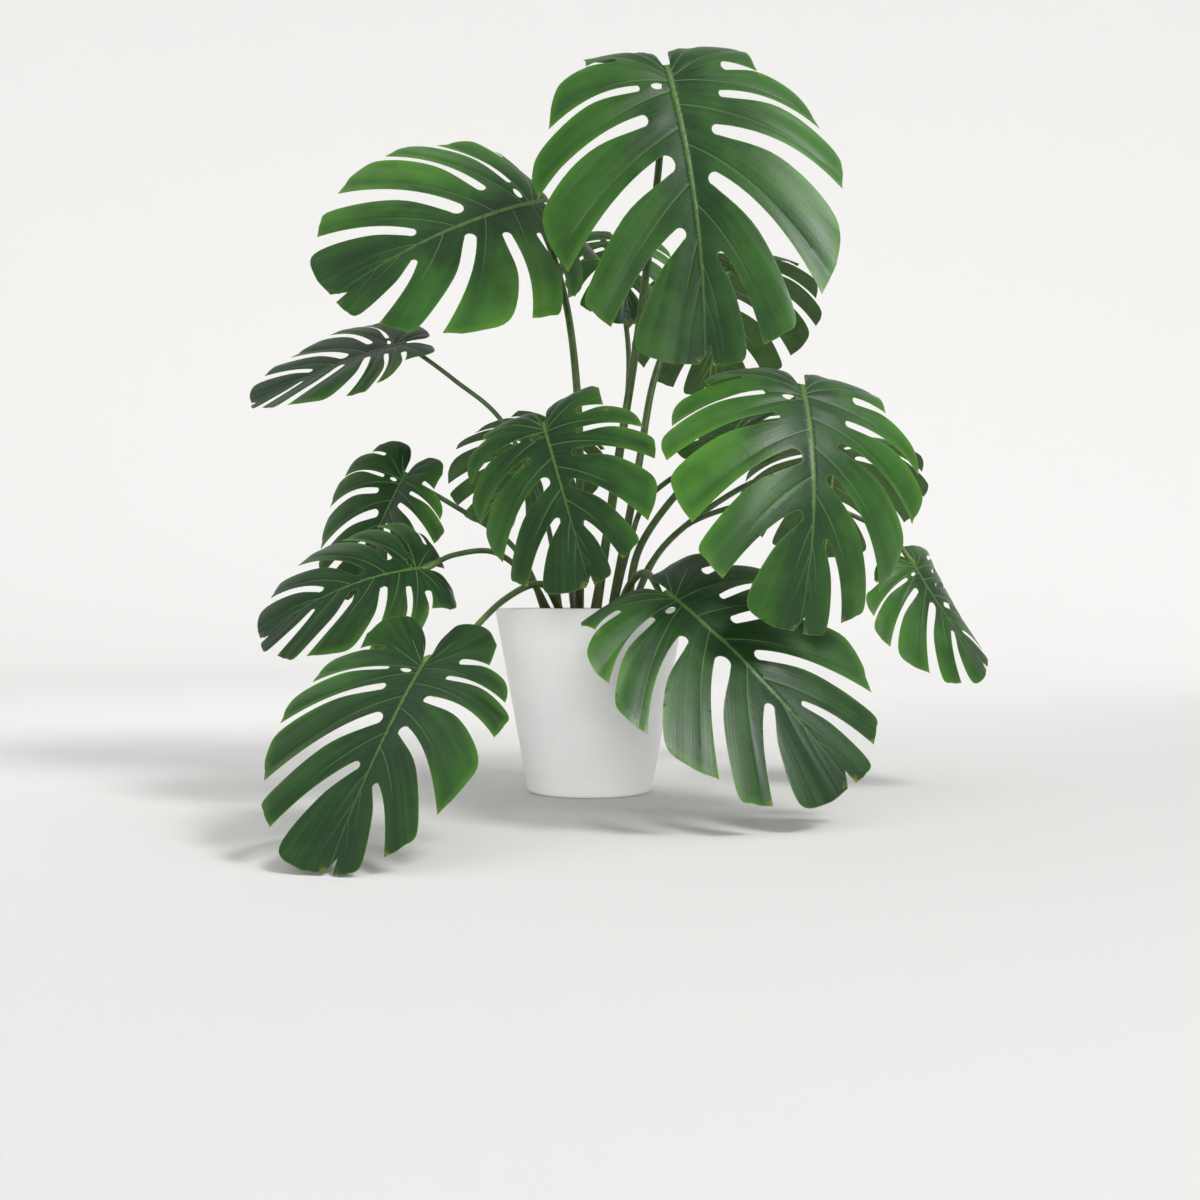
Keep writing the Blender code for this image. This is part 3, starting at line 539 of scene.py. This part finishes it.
class FlatBlade:
    """The flat blade of one leaf, and what its surface is like at each point."""

    def __init__(self, seed, length):
        sides = leaf_sides(seed)
        self.veins = {turn: side_veins(side) for turn, side in sides.items()}
        spacing, vein_width = GRID / length, VEIN_WIDTH / length
        angles = np.arange(HOLE_STEPS) * 2 * pi / HOLE_STEPS
        hole = np.array(HOLE_CENTRE) + np.array(HOLE_SIZE) * np.stack([np.sin(angles), np.cos(angles)], 1)
        outline = close_marks(blade_outline(sides), spacing)
        edge = np.vstack([outline, close_marks(hole, spacing)])

        def inside(places):
            return within(places, outline) & ~within(places, hole)

        u = np.linspace(0.0, RIB_END, int(1 / spacing))
        rib = [np.stack([u, share * rib_width(u)], 1) for share in RIB_ROWS]
        beside = np.vstack(rib[1:])
        lines, rows = [rib[0]], []
        crease = [(i, i + 1) for i in range(len(u) - 1)]
        last = len(u) - 1
        for turn, veins in self.veins.items():
            for vein in veins:
                steps = run_lengths(vein)
                at = np.arange(RIB_WIDTH[0] * VEIN_START, steps[-1], spacing * VEIN_SPACING)
                path = np.stack([np.interp(at, steps, line) for line in vein.T], 1) * (1, turn)
                way = unit(np.gradient(path, axis=0))
                aside = np.stack([-way[:, 1], way[:, 0]], 1) * vein_width
                keep = inside(path) & (distance(path, edge) > VEIN_TO_EDGE * spacing)
                place = last + np.cumsum(keep)
                crease += [(int(b) - 1, int(b)) for b in place[1:][keep[1:] & keep[:-1]]]
                last = int(place[-1])
                lines.append(path[keep])
                rows += [path + aside, path - aside]
        lines, rows = np.vstack(lines), np.vstack(rows)
        rows = clear_of(rows[inside(rows)], (edge, ROW_TO_EDGE * spacing), (lines, ROW_TO_VEIN * vein_width),
                        (beside, ROW_TO_RIB * spacing))
        rows = np.vstack([beside[within(beside, outline)], rows])
        grid = even_grid(outline, spacing)
        grid = clear_of(grid[inside(grid)], (edge, GRID_TO_EDGE * spacing), (lines, GRID_TO_LINE * spacing),
                        (rows, GRID_TO_ROW * spacing))

        first, second = len(lines), len(lines) + len(outline)
        loops = [list(range(first, second)), list(range(second, second + len(hole)))]
        points = [Vector(p) for p in np.vstack([lines, outline, hole, rows, grid])]
        flat, _, faces, *_ = delaunay_2d_cdt(points, crease, loops, 1, MESH_MERGE)
        self.points = np.array([tuple(p) for p in flat])
        faces = np.array(list(faces))
        faces = faces[inside(self.points[faces].mean(1))]
        a, b, c = (self.points[faces[:, i]] for i in range(3))
        turned = (b[:, 0] - a[:, 0]) * (c[:, 1] - a[:, 1]) < (b[:, 1] - a[:, 1]) * (c[:, 0] - a[:, 0])
        faces[turned] = faces[turned][:, ::-1]
        self.faces = faces
        self.read_surface(edge, sides, seed, length)

    def read_surface(self, edge, sides, seed, length):
        """Distances and masks at each point; the distances are in metres."""
        u, v = self.points[:, 0], self.points[:, 1]
        across, away, strength, lift, lobe_tint_and_light = (np.zeros(len(u)) for _ in range(5))
        rng = np.random.default_rng(seed + SURFACE_SEED)
        for turn, veins in self.veins.items():
            here = (v >= 0) if turn == 1 else (v < 0)
            across[here], away[here], strength[here] = vein_reading(veins, u[here], np.abs(v[here]))
            lobes = np.arange(-1, len(veins) + 1)
            # Each lobe gets a random height and a random tone. The tone's lighter lobes also stand in as
            # painted light on lobes that catch the lamp, and its darker ones as painted shade.
            heights, lobe_tints_and_light = rng.uniform(-1, 1, (2, len(lobes)))
            heights[:BASE_LOBES[0]] *= BASE_LOBES[1]
            lift[here] = np.interp(across[here], lobes, heights)
            lobe_tint_and_light[here] = np.interp(across[here], lobes, lobe_tints_and_light)
        out = ease(*LOBE_RISE, np.abs(v))
        swell = np.abs(across - np.round(across)) * 2
        crest = (1 - out) * np.sin(pi / 2 * swell) ** 2 + out * np.sin(pi * swell ** QUILT_LEAN)
        quilt = QUILTING * length * ease(0.0, QUILT_RISE, np.abs(v)) * crest
        half_width = rib_width(u)
        self.height = quilt + LOBE_SPREAD * length * out * lift
        self.rib = np.clip(1 - (v / half_width) ** 2, 0, 1)
        self.rib *= ease(SINUS_U, RIB_START_U, u) * (u < RIB_STOP_U)
        self.rib_size = half_width * length
        self.vein = np.clip(1 - away * length / VEIN_WIDTH, 0, 1) * strength * (1 - self.rib)
        self.margin = distance(self.points, edge) * length
        corners = [corner * (1, turn) for turn, side in sides.items() for _, corner in side["lobes"]]
        self.corner = distance(self.points, np.array(corners)) * length
        self.across = across + HALF_SHIFT * (v < 0) + LEAF_SHIFT * seed
        self.outward, self.along, self.swell, self.lobe_tint_and_light = np.abs(v), u, swell, out * lobe_tint_and_light


# ---- Blade in space ----
class Blade:
    """Bends the flat blade in space: the midrib's arch, then the halves' fold and droop."""

    def __init__(self, leaf):
        self.leaf = leaf
        self.junction, self.tip = np.array(leaf["junction"]), np.array(leaf["tip"])
        self.chord = self.tip - self.junction
        self.length = np.linalg.norm(self.chord)
        along = self.chord / self.length
        right = unit(np.array([-along[1], along[0], 0.0]))
        up = np.cross(along, right)
        roll = radians(leaf["roll"])
        self.right = right * cos(roll) + up * sin(roll)
        self.up = up * cos(roll) - right * sin(roll)

    def frame(self, u):
        """The midrib's points, directions, right sides and upper sides at the values u."""
        u = np.maximum(np.atleast_1d(np.asarray(u, float)), 0.0)[:, None]
        lift = 4 * self.length * (self.leaf["arch"] * self.up + self.leaf["sway"] * self.right)
        point = self.junction + self.chord * u + lift * u * (1 - u)
        along = unit(self.chord + lift * (1 - 2 * u))
        right = unit(self.right - along * (along @ self.right)[:, None])
        up = np.cross(along, right)
        twist = radians(self.leaf["twist"]) * u
        c, s = np.cos(twist), np.sin(twist)
        return point, along, right * c + up * s, up * c - right * s

    def half(self, name, v):
        """The leaf's value for the half that each point lies in."""
        left, right = np.broadcast_to(self.leaf[name], 2)
        return np.where(v >= 0, right, left)

    def place(self, u, v):
        """The points in space."""
        u, v = np.atleast_1d(np.asarray(u, float)), np.atleast_1d(np.asarray(v, float))
        point, along, right, up = self.frame(u)
        bend = radians(self.leaf["back"]) / (BACK_SPAN * self.length)
        a = (bend * np.maximum(-u, 0) * self.length)[:, None]
        point = point - along * np.sin(a) / bend - up * (1 - np.cos(a)) / bend
        up = up * np.cos(a) - along * np.sin(a)
        turn = np.where(v >= 0, 1.0, -1.0)
        droop = np.radians(self.half("droop", v) + LEAST_DROOP)
        rise = radians(self.leaf["fold"])
        bend = droop / (DROOP_SPAN * self.length)
        low, high = BASE_SPAN
        base = (self.half("base_width", v) - 1) * np.clip((high - u) / (high - low), 0, 1)
        reach = np.abs(v) * self.length * (self.half("width", v) * (1 + base))
        out = (sin(rise) - np.sin(rise - bend * reach)) / bend
        lift = (np.cos(rise - bend * reach) - cos(rise)) / bend
        return point + right * (turn * out)[:, None] + up * lift[:, None]

    def facing(self, u, v):
        """The upper side's direction at the points."""
        side = np.where(v >= 0, FACING_STEP, -FACING_STEP)
        along = self.place(u + FACING_STEP, v) - self.place(u - FACING_STEP, v)
        across = (self.place(u, v + side) - self.place(u, v)) * np.sign(side)[:, None]
        share = ease(0.0, FACING_BLEND, np.abs(v))[:, None]
        return unit(self.frame(u)[3] * (1 - share) + unit(np.cross(along, across)) * share)


def standing(leaf, seed):
    """The leaf in the plant's frame, its tip raised or lowered so that it clears the surface under
    the pot; a trailing leaf's tip lies down on it."""
    lift = np.array([0, 0, POT_HEIGHT])
    leaf = dict(LEAF_RULE, **leaf)
    leaf.update(junction=leaf["junction"] + lift, tip=leaf["tip"] + lift,
                via=[point + lift for point in leaf["via"]])
    u, v = blade_outline(leaf_sides(seed)).T
    for _ in range(SETTLE_ROUNDS):
        lowest = Blade(leaf).place(u, v)[:, 2].min() - THICKNESS
        if lowest < CLEARANCE or leaf["trailing"]:
            leaf["tip"] = leaf["tip"] + np.array([0, 0, CLEARANCE - lowest])
    return leaf


def make_blade(name, leaf, seed, materials):
    blade = Blade(leaf)
    flat = FlatBlade(seed, blade.length)
    u, v = flat.points.T
    up = blade.facing(u, v)
    middle = blade.place(u, v) + up * flat.height[:, None]
    thin, full = EDGE_THINNING
    thick = THICKNESS / 2 * (thin + (1 - thin) * ease(0, full, flat.margin))
    round_rib = np.sqrt(flat.rib) * flat.rib_size
    top = middle + up * (thick + RIB_HEIGHT * round_rib - VEIN_GROOVE * flat.vein)[:, None]
    bottom = middle - up * (thick + RIB_DEPTH * round_rib + VEIN_RIDGE * flat.vein)[:, None]
    points = np.vstack([top, bottom])
    points[:, 2] = np.maximum(points[:, 2], LOWEST_POINT)

    count, one_side = len(u), len(flat.faces)
    faces = flat.faces.tolist()
    edges = dict.fromkeys((face[i - 1], face[i]) for face in faces for i in (1, 2, 0))
    rim = [e for e in edges if e[::-1] not in edges]
    faces += (flat.faces[:, ::-1] + count).tolist()
    faces += [(a, a + count, b + count, b) for a, b in rim]
    piece = new_piece(name, points, faces, materials)
    slots = np.zeros(len(faces), np.int32)
    slots[one_side:2 * one_side] = 1
    piece.data.polygons.foreach_set("material_index", slots)
    sharp = {frozenset((a + k, b + k)) for a, b in rim for k in (0, count)}
    piece.data.attributes.new("sharp_edge", "BOOLEAN", "EDGE").data.foreach_set(
        "value", [frozenset(edge.vertices) in sharp for edge in piece.data.edges])
    for label in ("across", "outward", "rib", "vein", "margin", "corner", "lobe_tint_and_light", "swell", "along"):
        note(piece, label, np.tile(getattr(flat, label), 2))
    # each leaf's painted light and shade: its green made lighter where the leaf catches the lamp and darker
    # where it lies in the shade of others
    note(piece, "leaf_painted_light", np.full(2 * count, leaf["painted_light_and_shade"]))
    stands_for(piece, name)


# ---- Petioles ----
def petiole_route(leaf):
    """From its hole in the soil, through its points, into the blade's midrib."""
    blade = Blade(leaf)
    into = PETIOLE_IN_BLADE / blade.length
    heading, girth = blade.frame(0)[3][0], leaf["girth"][1]
    if leaf["entry"] == "behind":
        knee = blade.place(SINUS_U, 0)[0]
        last = [blade.place(BEHIND_ENTRY * into, 0)[0] - heading * girth * BEHIND_ENTRY]
    else:
        knee = blade.junction - heading * KNEE_LENGTH
        end = blade.place(into, 0)[0] - blade.frame(into)[3][0] * girth * IN_BLADE_DEPTH
        last = bow(knee, blade.junction - heading * girth * IN_BLADE_DEPTH, end, TOP_STEPS)
    root = np.array([*leaf["root"], SOIL_TOP])
    rise = unit(unit(np.array(leaf["via"][0]) - root) + np.array([0, 0, 1.0]))
    route = smooth_curve([root + rise * EMERGE_HEIGHT, *leaf["via"], knee], PETIOLE_STEPS)
    return np.array([root - rise * PETIOLE_IN_SOIL, root, *route, *last])


def swept(route, radii, shape, angles):
    """A tube along a route. shape gives the radius's factor at an angle and a step of the route;
    angle 0 faces the middle of the plant."""
    aim = np.array([0, 0, route[0][2] + AIM_HEIGHT]) - route[0]
    points = []
    for i, (place, direction) in enumerate(zip(route, unit(np.gradient(route, axis=0)))):
        aim = unit(aim - direction * (aim @ direction))
        aside = np.cross(direction, aim)
        reach = radii[i] * shape(i)
        points.append(place + np.outer(np.cos(angles) * reach, aim) + np.outer(np.sin(angles) * reach, aside))
    points = np.vstack(points + [route[:1], route[-1:]])
    return points, [face[:1] + face[:0:-1] for face in skin(len(route), len(angles))]


def make_petiole(name, leaf, material):
    route = petiole_route(leaf)
    steps = run_lengths(route)
    share, from_top, above = steps / steps[-1], steps[-1] - steps, steps - PETIOLE_IN_SOIL
    low, high = leaf["girth"]
    radii = low + (high - low) * share
    radii *= 1 + KNEE_SWELLING * bell((from_top - KNEE_PLACE[0]) / KNEE_PLACE[1])
    radii *= 1 - END_TAPER[0] * ease(END_TAPER[1], 0.0, from_top)
    lips = ease(SHEATH_HEIGHT, SHEATH_FULL * SHEATH_HEIGHT, above) * ease(*SHEATH_START, above)
    angles = np.arange(PETIOLE_SIDES) * 2 * pi / PETIOLE_SIDES
    from_inner = (angles + pi) % (2 * pi) - pi
    groove = bell(from_inner / GROOVE[2])
    lip = bell((np.abs(from_inner) - LIP[1]) / LIP[2])

    def shape(i):
        return 1 - (GROOVE[0] + GROOVE[1] * lips[i]) * groove + LIP[0] * lips[i] * lip

    piece = new_piece(name, *swept(route, radii, shape, angles), [material])
    note(piece, "facing_in", np.r_[np.tile(np.cos(angles), len(route)), 0, 0])
    for label, values, ends in (("above_soil", above, (0, steps[-1])), ("to_blade", from_top, (1, 0))):
        note(piece, label, np.r_[np.repeat(values, PETIOLE_SIDES), ends])
    stands_for(piece, name)


# ---- Pot and soil ----
def make_pot(material):
    inner, rim = RIM_RADIUS - POT_WALL, POT_HEIGHT - RIM_ROUND
    low = wall_radius(BASE_ROUND)
    rim_steps, base_steps = ROUND_STEPS
    profile = [(0, POT_FLOOR), (wall_radius(POT_FLOOR) - POT_WALL, POT_FLOOR)]
    profile += arc((inner + RIM_ROUND, rim), RIM_ROUND, 180, 90, rim_steps)
    profile += arc((RIM_RADIUS - RIM_ROUND, rim), RIM_ROUND, 90, 0, rim_steps)
    profile += [(RIM_RADIUS + (low - RIM_RADIUS) * i / WALL_STEPS,
                 rim + (BASE_ROUND - rim) * i / WALL_STEPS) for i in range(1, WALL_STEPS)]
    profile += arc((low - BASE_ROUND, BASE_ROUND), BASE_ROUND, 0, -90, base_steps)
    pot = new_piece("pot", *lathe([*profile, (0, 0)], POT_SEGMENTS), [material])
    stands_for(pot, "pot")


def soil_height(x, y):
    """The height of the soil's surface."""
    crown = SOIL_CROWN * (1 - (hypot(x, y) / (wall_radius(SOIL_TOP) - POT_WALL)) ** 2)
    lumps = SOIL_LUMPS * noise.fractal((x * LUMP_SCALE, y * LUMP_SCALE, 0), *LUMP_NOISE)
    return SOIL_TOP + crown * SOIL_FILL + lumps


def make_soil(material):
    edge = wall_radius(SOIL_TOP) - POT_WALL - SOIL_GAP
    low = POT_FLOOR + SOIL_GAP
    profile = [(edge * i / SOIL_RINGS, SOIL_TOP) for i in range(SOIL_RINGS + 1)]
    profile += [(wall_radius(low) - POT_WALL - SOIL_GAP, low), (0, low)]
    points, faces = lathe(profile, SOIL_SEGMENTS)
    points = [(x, y, soil_height(x, y)) if z == SOIL_TOP else (x, y, z) for x, y, z in points]
    rng = np.random.default_rng(CHIP_SEED)
    kinds = [0] * len(points)
    for _ in range(CHIPS):
        a, out = rng.uniform(0, 2 * pi), edge * rng.uniform(*CHIP_OUT) ** CHIP_CROWDING
        size = rng.uniform(*CHIP_LENGTH) * np.array([1.0, rng.uniform(*CHIP_WIDTH), rng.uniform(*CHIP_DEPTH)])
        if out > edge - size.max():
            continue
        x, y = out * cos(a), out * sin(a)
        turn = Vector((rng.normal(), rng.normal(), CHIP_UPRIGHT)).to_track_quat("Z", "X").to_matrix()
        spin = rng.uniform(0, 2 * pi)
        start = len(points)
        for corner in CHIP_CORNERS:
            cx, cy, cz = np.array(corner) * size * rng.uniform(*CHIP_UNEVEN)
            p = turn @ Vector((cx * cos(spin) - cy * sin(spin), cx * sin(spin) + cy * cos(spin), cz))
            points.append((x + p.x, y + p.y, soil_height(x, y) + size[2] / 2 + p.z))
        faces += [tuple(start + i for i in face) for face in CHIP_FACES]
        kinds += [rng.uniform(*CHIP_TONE)] * len(CHIP_CORNERS)
    soil = new_piece("potting_soil", points, faces, [material])
    note(soil, "chip", kinds)
    stands_for(soil, "potting_soil")


# ---- Materials ----
def colour(red, green, blue):
    """A linear colour from its everyday 0 to 255 values."""
    return tuple(c / 12.92 if c <= 0.04045 else ((c + 0.055) / 1.055) ** 2.4
                 for c in (red / 255, green / 255, blue / 255)) + (1.0,)


class Nodes:
    """Short ways to add and join shader nodes in one tree."""

    def __init__(self, tree):
        self.tree = tree

    def add(self, kind, **settings):
        node = self.tree.nodes.new(kind)
        for name, value in settings.items():
            setattr(node, name, value)
        return node

    def join(self, source, target):
        """Feeds a socket from a number, a colour, another socket or what note stored by a name."""
        if isinstance(source, str):
            source = self.add("ShaderNodeAttribute", attribute_name=source).outputs["Fac"]
        if isinstance(source, (int, float, tuple)):
            target.default_value = source
        else:
            self.tree.links.new(source, target)

    def math(self, operation, first, *others):
        for value in others:
            node = self.add("ShaderNodeMath", operation=operation)
            self.join(first, node.inputs[0])
            self.join(value, node.inputs[1])
            first = node.outputs[0]
        return first

    def plus(self, *values):
        return self.math("ADD", *values)

    def times(self, *values):
        return self.math("MULTIPLY", *values)

    def ramp(self, value, low, high, to_low=0.0, to_high=1.0):
        """value from low..high to to_low..to_high, smooth and held at both ends."""
        node = self.add("ShaderNodeMapRange", interpolation_type="SMOOTHSTEP")
        for source, socket in zip((value, low, high, to_low, to_high), node.inputs):
            self.join(source, socket)
        return node.outputs[0]

    def mix(self, share, first, second):
        node = self.add("ShaderNodeMix", data_type="RGBA")
        # a Mix node's inputs 6 and 7 and its output 2 are the ones for colours
        for source, socket in ((share, 0), (first, 6), (second, 7)):
            self.join(source, node.inputs[socket])
        return node.outputs[2]

    def paint(self, base, *layers):
        """Lays colours over a base. A layer is a ramp's values and a colour, or a share and a
        colour."""
        base = colour(*base)
        for *mask, tone in layers:
            share = self.ramp(*mask) if len(mask) > 1 else mask[0]
            base = self.mix(share, base, colour(*tone) if isinstance(tone, tuple) else tone)
        return base

    def noise(self, vector, scale, detail, roughness):
        node = self.add("ShaderNodeTexNoise")
        for name, value in dict(Vector=vector, Scale=scale, Detail=detail, Roughness=roughness).items():
            self.join(value, node.inputs[name])
        return node.outputs["Fac"]

    def group(self, tree, **inputs):
        node = self.add("ShaderNodeGroup", node_tree=tree)
        for name, value in inputs.items():
            self.join(value, node.inputs[name])
        return node.outputs


def new_group(name, inside, *outside):
    tree = bpy.data.node_groups.new(name, "ShaderNodeTree")
    for label, way in ((inside, "INPUT"), *((label, "OUTPUT") for label in outside)):
        tree.interface.new_socket(label, in_out=way, socket_type="NodeSocketFloat")
    return tree, Nodes(tree), tree.nodes.new("NodeGroupInput"), tree.nodes.new("NodeGroupOutput")


def mottle_group():
    """Soft cloudy variation in space, and finer specks."""
    tree, nodes, into, out = new_group("mottle", "Size", "Clouds", "Specks")
    scaled = nodes.add("ShaderNodeVectorMath", operation="SCALE")
    nodes.join(nodes.add("ShaderNodeNewGeometry").outputs["Position"], scaled.inputs[0])
    nodes.join(into.outputs["Size"], scaled.inputs["Scale"])
    for label, scale, detail, roughness in (("Clouds", 1.0, 3.0, 0.55), ("Specks", 14.0, 2.0, 0.6)):
        nodes.join(nodes.noise(scaled.outputs[0], scale, detail, roughness), out.inputs[label])
    return tree


def streak_group():
    """Fine lines that run with the side veins, for both faces of a blade, and broader bands."""
    tree, nodes, into, out = new_group("vein_streaks", "Count", "Streaks", "Bands")
    along = nodes.times("outward", 2.2)
    for label, share, detail in (("Streaks", 1.0, 2.0), ("Bands", 0.22, 1.0)):
        count = nodes.times(into.outputs["Count"], share)
        vector = nodes.add("ShaderNodeCombineXYZ")
        nodes.join(nodes.times("across", count), vector.inputs["X"])
        nodes.join(along, vector.inputs["Y"])
        nodes.join(nodes.noise(vector.outputs[0], 1.0, detail, 0.6), out.inputs[label])
    return tree


def new_material(name):
    material = bpy.data.materials.new(name)
    material.use_nodes = True
    return material, Nodes(material.node_tree), material.node_tree.nodes["Principled BSDF"]


def dress(nodes, shader, tone, rough, height, depth, specular=0.5):
    """Gives a surface its colour, roughness, fine relief, that relief's depth, and its shine."""
    relief = nodes.add("ShaderNodeBump")
    relief.inputs["Distance"].default_value = depth
    relief.inputs["Strength"].default_value = 1.0
    nodes.join(height, relief.inputs["Height"])
    for source, name in ((tone, "Base Color"), (rough, "Roughness"), (relief.outputs["Normal"], "Normal"),
                         (specular, "Specular IOR Level")):
        nodes.join(source, shader.inputs[name])


def upper_material():
    material, nodes, shader = new_material("leaf_upper")
    cloud, lines = nodes.group(mottle, Size=16.0), nodes.group(streaks, Count=26.0)
    clouds, specks, streak, bands = cloud["Clouds"], cloud["Specks"], lines["Streaks"], lines["Bands"]
    # painted light and shade with tone: each lobe's random tone, which also stands in for lit lobes, the
    # leaf's painted light and shade, and cloudy mottling
    painted_light_and_tone = nodes.plus(nodes.times("lobe_tint_and_light", 0.7), "leaf_painted_light",
                        nodes.ramp(clouds, 0.25, 0.75, -0.25, 0.25))
    # a paler rim along the outer edges: partly the leaf's own pale margin, partly painted light where the
    # edges glow in the lamp
    pale_rim_and_painted_glow = nodes.times(nodes.ramp("margin", 0.014, 0.001), nodes.ramp("outward", 0.26, 0.46, 0, 0.27))
    tips = nodes.times(nodes.ramp("corner", 0.012, 0.002), nodes.ramp(specks, 0.4, 0.6), 0.45)
    veins = nodes.times(nodes.ramp("vein", 0.45, 1), nodes.ramp("outward", 0.04, 0.42, 0.75, 0.22),
                        nodes.ramp("along", 0.45, 0.85, 1, 0.4))
    ribbed = nodes.times(nodes.ramp("rib", 0.05, 0.55), nodes.ramp("along", 0.25, 0.95, 0.95, 0.35))
    green = nodes.paint(
        (22, 50, 18),
        (clouds, 0.32, 0.68, (34, 72, 23)),
        # painted light: the outer parts of the lobes made lighter green, standing in for light shining
        # through the thin blade
        ("outward", 0.1, 0.48, 0, 0.6, (48, 96, 28)),
        # lighter where that sum is high and darker where it is low, painting light and shade along with the
        # random tone
        (painted_light_and_tone, 0, 1.1, 0, 0.68, (74, 122, 34)),
        (painted_light_and_tone, 0, -1.3, 0, 0.85, (15, 40, 16)),
        (bands, 0.38, 0.66, 0, 0.14, (60, 106, 34)),
        (streak, 0.45, 0.72, 0, 0.1, (78, 120, 58)),
        ("outward", 0.2, 0, 0, 0.6, (17, 42, 22)),
        # painted shade: darker in the valleys along the side veins, where the quilted blade dips
        ("swell", 0.4, 0, 0, 0.3, (16, 42, 15)),
        (pale_rim_and_painted_glow, (84, 134, 44)),
        # the very edge paler still: its own pale margin line together with painted glow
        ("margin", 0.002, 0.0002, 0, 0.3, (96, 134, 40)),
        (tips, (130, 128, 54)),
        (veins, (88, 122, 66)),
        (ribbed, nodes.paint((58, 88, 36), (bands, 0.35, 0.65, (78, 108, 48)))))
    rough = nodes.plus(nodes.ramp(streak, 0.3, 0.7, 0.33, 0.41), nodes.ramp(clouds, 0.3, 0.7, -0.03, 0.05))
    dress(nodes, shader, green, rough, nodes.plus(nodes.times(streak, 0.6), nodes.times(specks, 0.4)),
          0.00028, 0.23)
    return material


def under_material():
    material, nodes, shader = new_material("leaf_underside")
    cloud, streak = nodes.group(mottle, Size=26.0), nodes.group(streaks, Count=22.0)["Streaks"]
    green = nodes.paint(
        (52, 84, 38),
        (cloud["Clouds"], 0.32, 0.68, (70, 104, 48)),
        (streak, 0.42, 0.7, 0, 0.35, (92, 122, 64)),
        ("vein", 0.2, 0.9, 0, 0.85, (116, 144, 78)),
        ("rib", 0.02, 0.4, (122, 148, 76)))
    height = nodes.plus(nodes.times(streak, 0.7), nodes.times(cloud["Specks"], 0.3))
    dress(nodes, shader, green, nodes.ramp(streak, 0.3, 0.7, 0.46, 0.58), height, 0.0003, 0.3)
    return material


def mottled(name, size, tones, rough, depth, layers=lambda nodes, specks: ()):
    """Clouds of two colours under layers of others, with fine specks."""
    material, nodes, shader = new_material(name)
    cloud = nodes.group(mottle, Size=size)
    specks = cloud["Specks"]
    tone = nodes.paint(tones[0], (cloud["Clouds"], 0.3, 0.7, tones[1]), *layers(nodes, specks))
    dress(nodes, shader, tone, nodes.ramp(specks, 0.3, 0.7, *rough), specks, depth)
    return material


def stalk_layers(nodes, specks):
    """A paler inner side and knee, and dry patches near the soil."""
    dry = nodes.times(nodes.ramp("above_soil", 0.07, 0), nodes.ramp(specks, 0.3, 0.62), 0.85)
    return (("facing_in", 0.8, 1, 0, 0.5, (92, 118, 52)),
            ("to_blade", 0.05, 0.01, 0, 0.7, (84, 116, 44)), (dry, (92, 72, 44)))


def soil_layers(nodes, specks):
    """Pale grains and reddish bits of bark."""
    return ((specks, 0.58, 0.7, 0, 0.6, (96, 74, 54)),
            (nodes.times("chip", 0.8), (112, 78, 50)))


def stage_material():
    """Studio paper, a shade darker near the lamp, so that it looks even."""
    material, nodes, shader = new_material("studio_paper")
    reach = nodes.add("ShaderNodeVectorMath", operation="DISTANCE")
    reach.inputs[1].default_value = KEY_PLACE
    nodes.join(nodes.add("ShaderNodeNewGeometry").outputs["Position"], reach.inputs[0])
    away = nodes.ramp(reach.outputs["Value"], *STAGE_REACH)
    nodes.join(nodes.mix(away, STAGE_NEAR_COLOUR, STAGE_FAR_COLOUR), shader.inputs["Base Color"])
    shader.inputs["Roughness"].default_value = 0.9
    shader.inputs["Specular IOR Level"].default_value = 0.2
    return material


# ---- Studio ----
def make_stage(material):
    """A round floor whose rim curves up into a wall all round."""
    curve = arc((STAGE_RADIUS, STAGE_CURVE), STAGE_CURVE, -90, 0, CURVE_STEPS)
    wall_top = [(STAGE_RADIUS + STAGE_CURVE, STAGE_HEIGHT), (0, STAGE_HEIGHT)]
    points, faces = lathe([(0, 0), (STAGE_FLAT, 0), *curve, *wall_top], STAGE_SEGMENTS)
    top = len(points) - 1
    faces = [face for face in faces if top not in face]
    new_piece("studio_floor", points[:top], faces, [material])


def light_studio():
    world = bpy.data.worlds.new("studio")
    world.use_nodes = True
    background = world.node_tree.nodes["Background"]
    background.inputs["Color"].default_value = (1.0, 1.0, 1.0, 1.0)
    background.inputs["Strength"].default_value = WORLD_STRENGTH
    bpy.context.scene.world = world
    bpy.context.scene.view_settings.view_transform = "Standard"
    for name, (place, size, power, aim, spread) in LIGHTS.items():
        lamp = bpy.data.lights.new(name, "AREA")
        lamp.size, lamp.energy, lamp.spread = size, power, radians(spread)
        light = link(bpy.data.objects.new(name, lamp))
        light.location = place
        light.visible_camera = False
        light.rotation_euler = (Vector(place) - Vector(aim)).to_track_quat("Z", "Y").to_euler()


def place_camera():
    camera = link(bpy.data.objects.new("camera", bpy.data.cameras.new("camera")))
    camera.location = CAMERA_PLACE
    camera.rotation_euler = (pi / 2, 0, 0)
    camera.data.lens = CAMERA_LENS
    camera.data.sensor_width = CAMERA_SENSOR
    bpy.context.scene.camera = camera


# ---- Build ----
place_camera()
light_studio()
make_stage(stage_material())
mottle, streaks = mottle_group(), streak_group()
make_pot(mottled("pot_glaze", 9.0, ((240, 241, 241), (247, 247, 246)), (0.34, 0.44), 0.00012))
make_soil(mottled("potting_soil", 120.0, ((38, 27, 19), (66, 48, 34)), (0.75, 0.98), 0.0012,
                           soil_layers))
stalk = mottled("leaf_stalk", 60.0, ((44, 70, 24), (70, 98, 36)), (0.34, 0.50), 0.0004,
                         stalk_layers)
leaf_materials = [upper_material(), under_material()]
for seed, (name, leaf) in enumerate(LEAVES.items()):
    leaf = standing(leaf, seed)
    make_blade(name + "_blade", leaf, seed, leaf_materials)
    make_petiole(name + "_petiole", leaf, stalk)
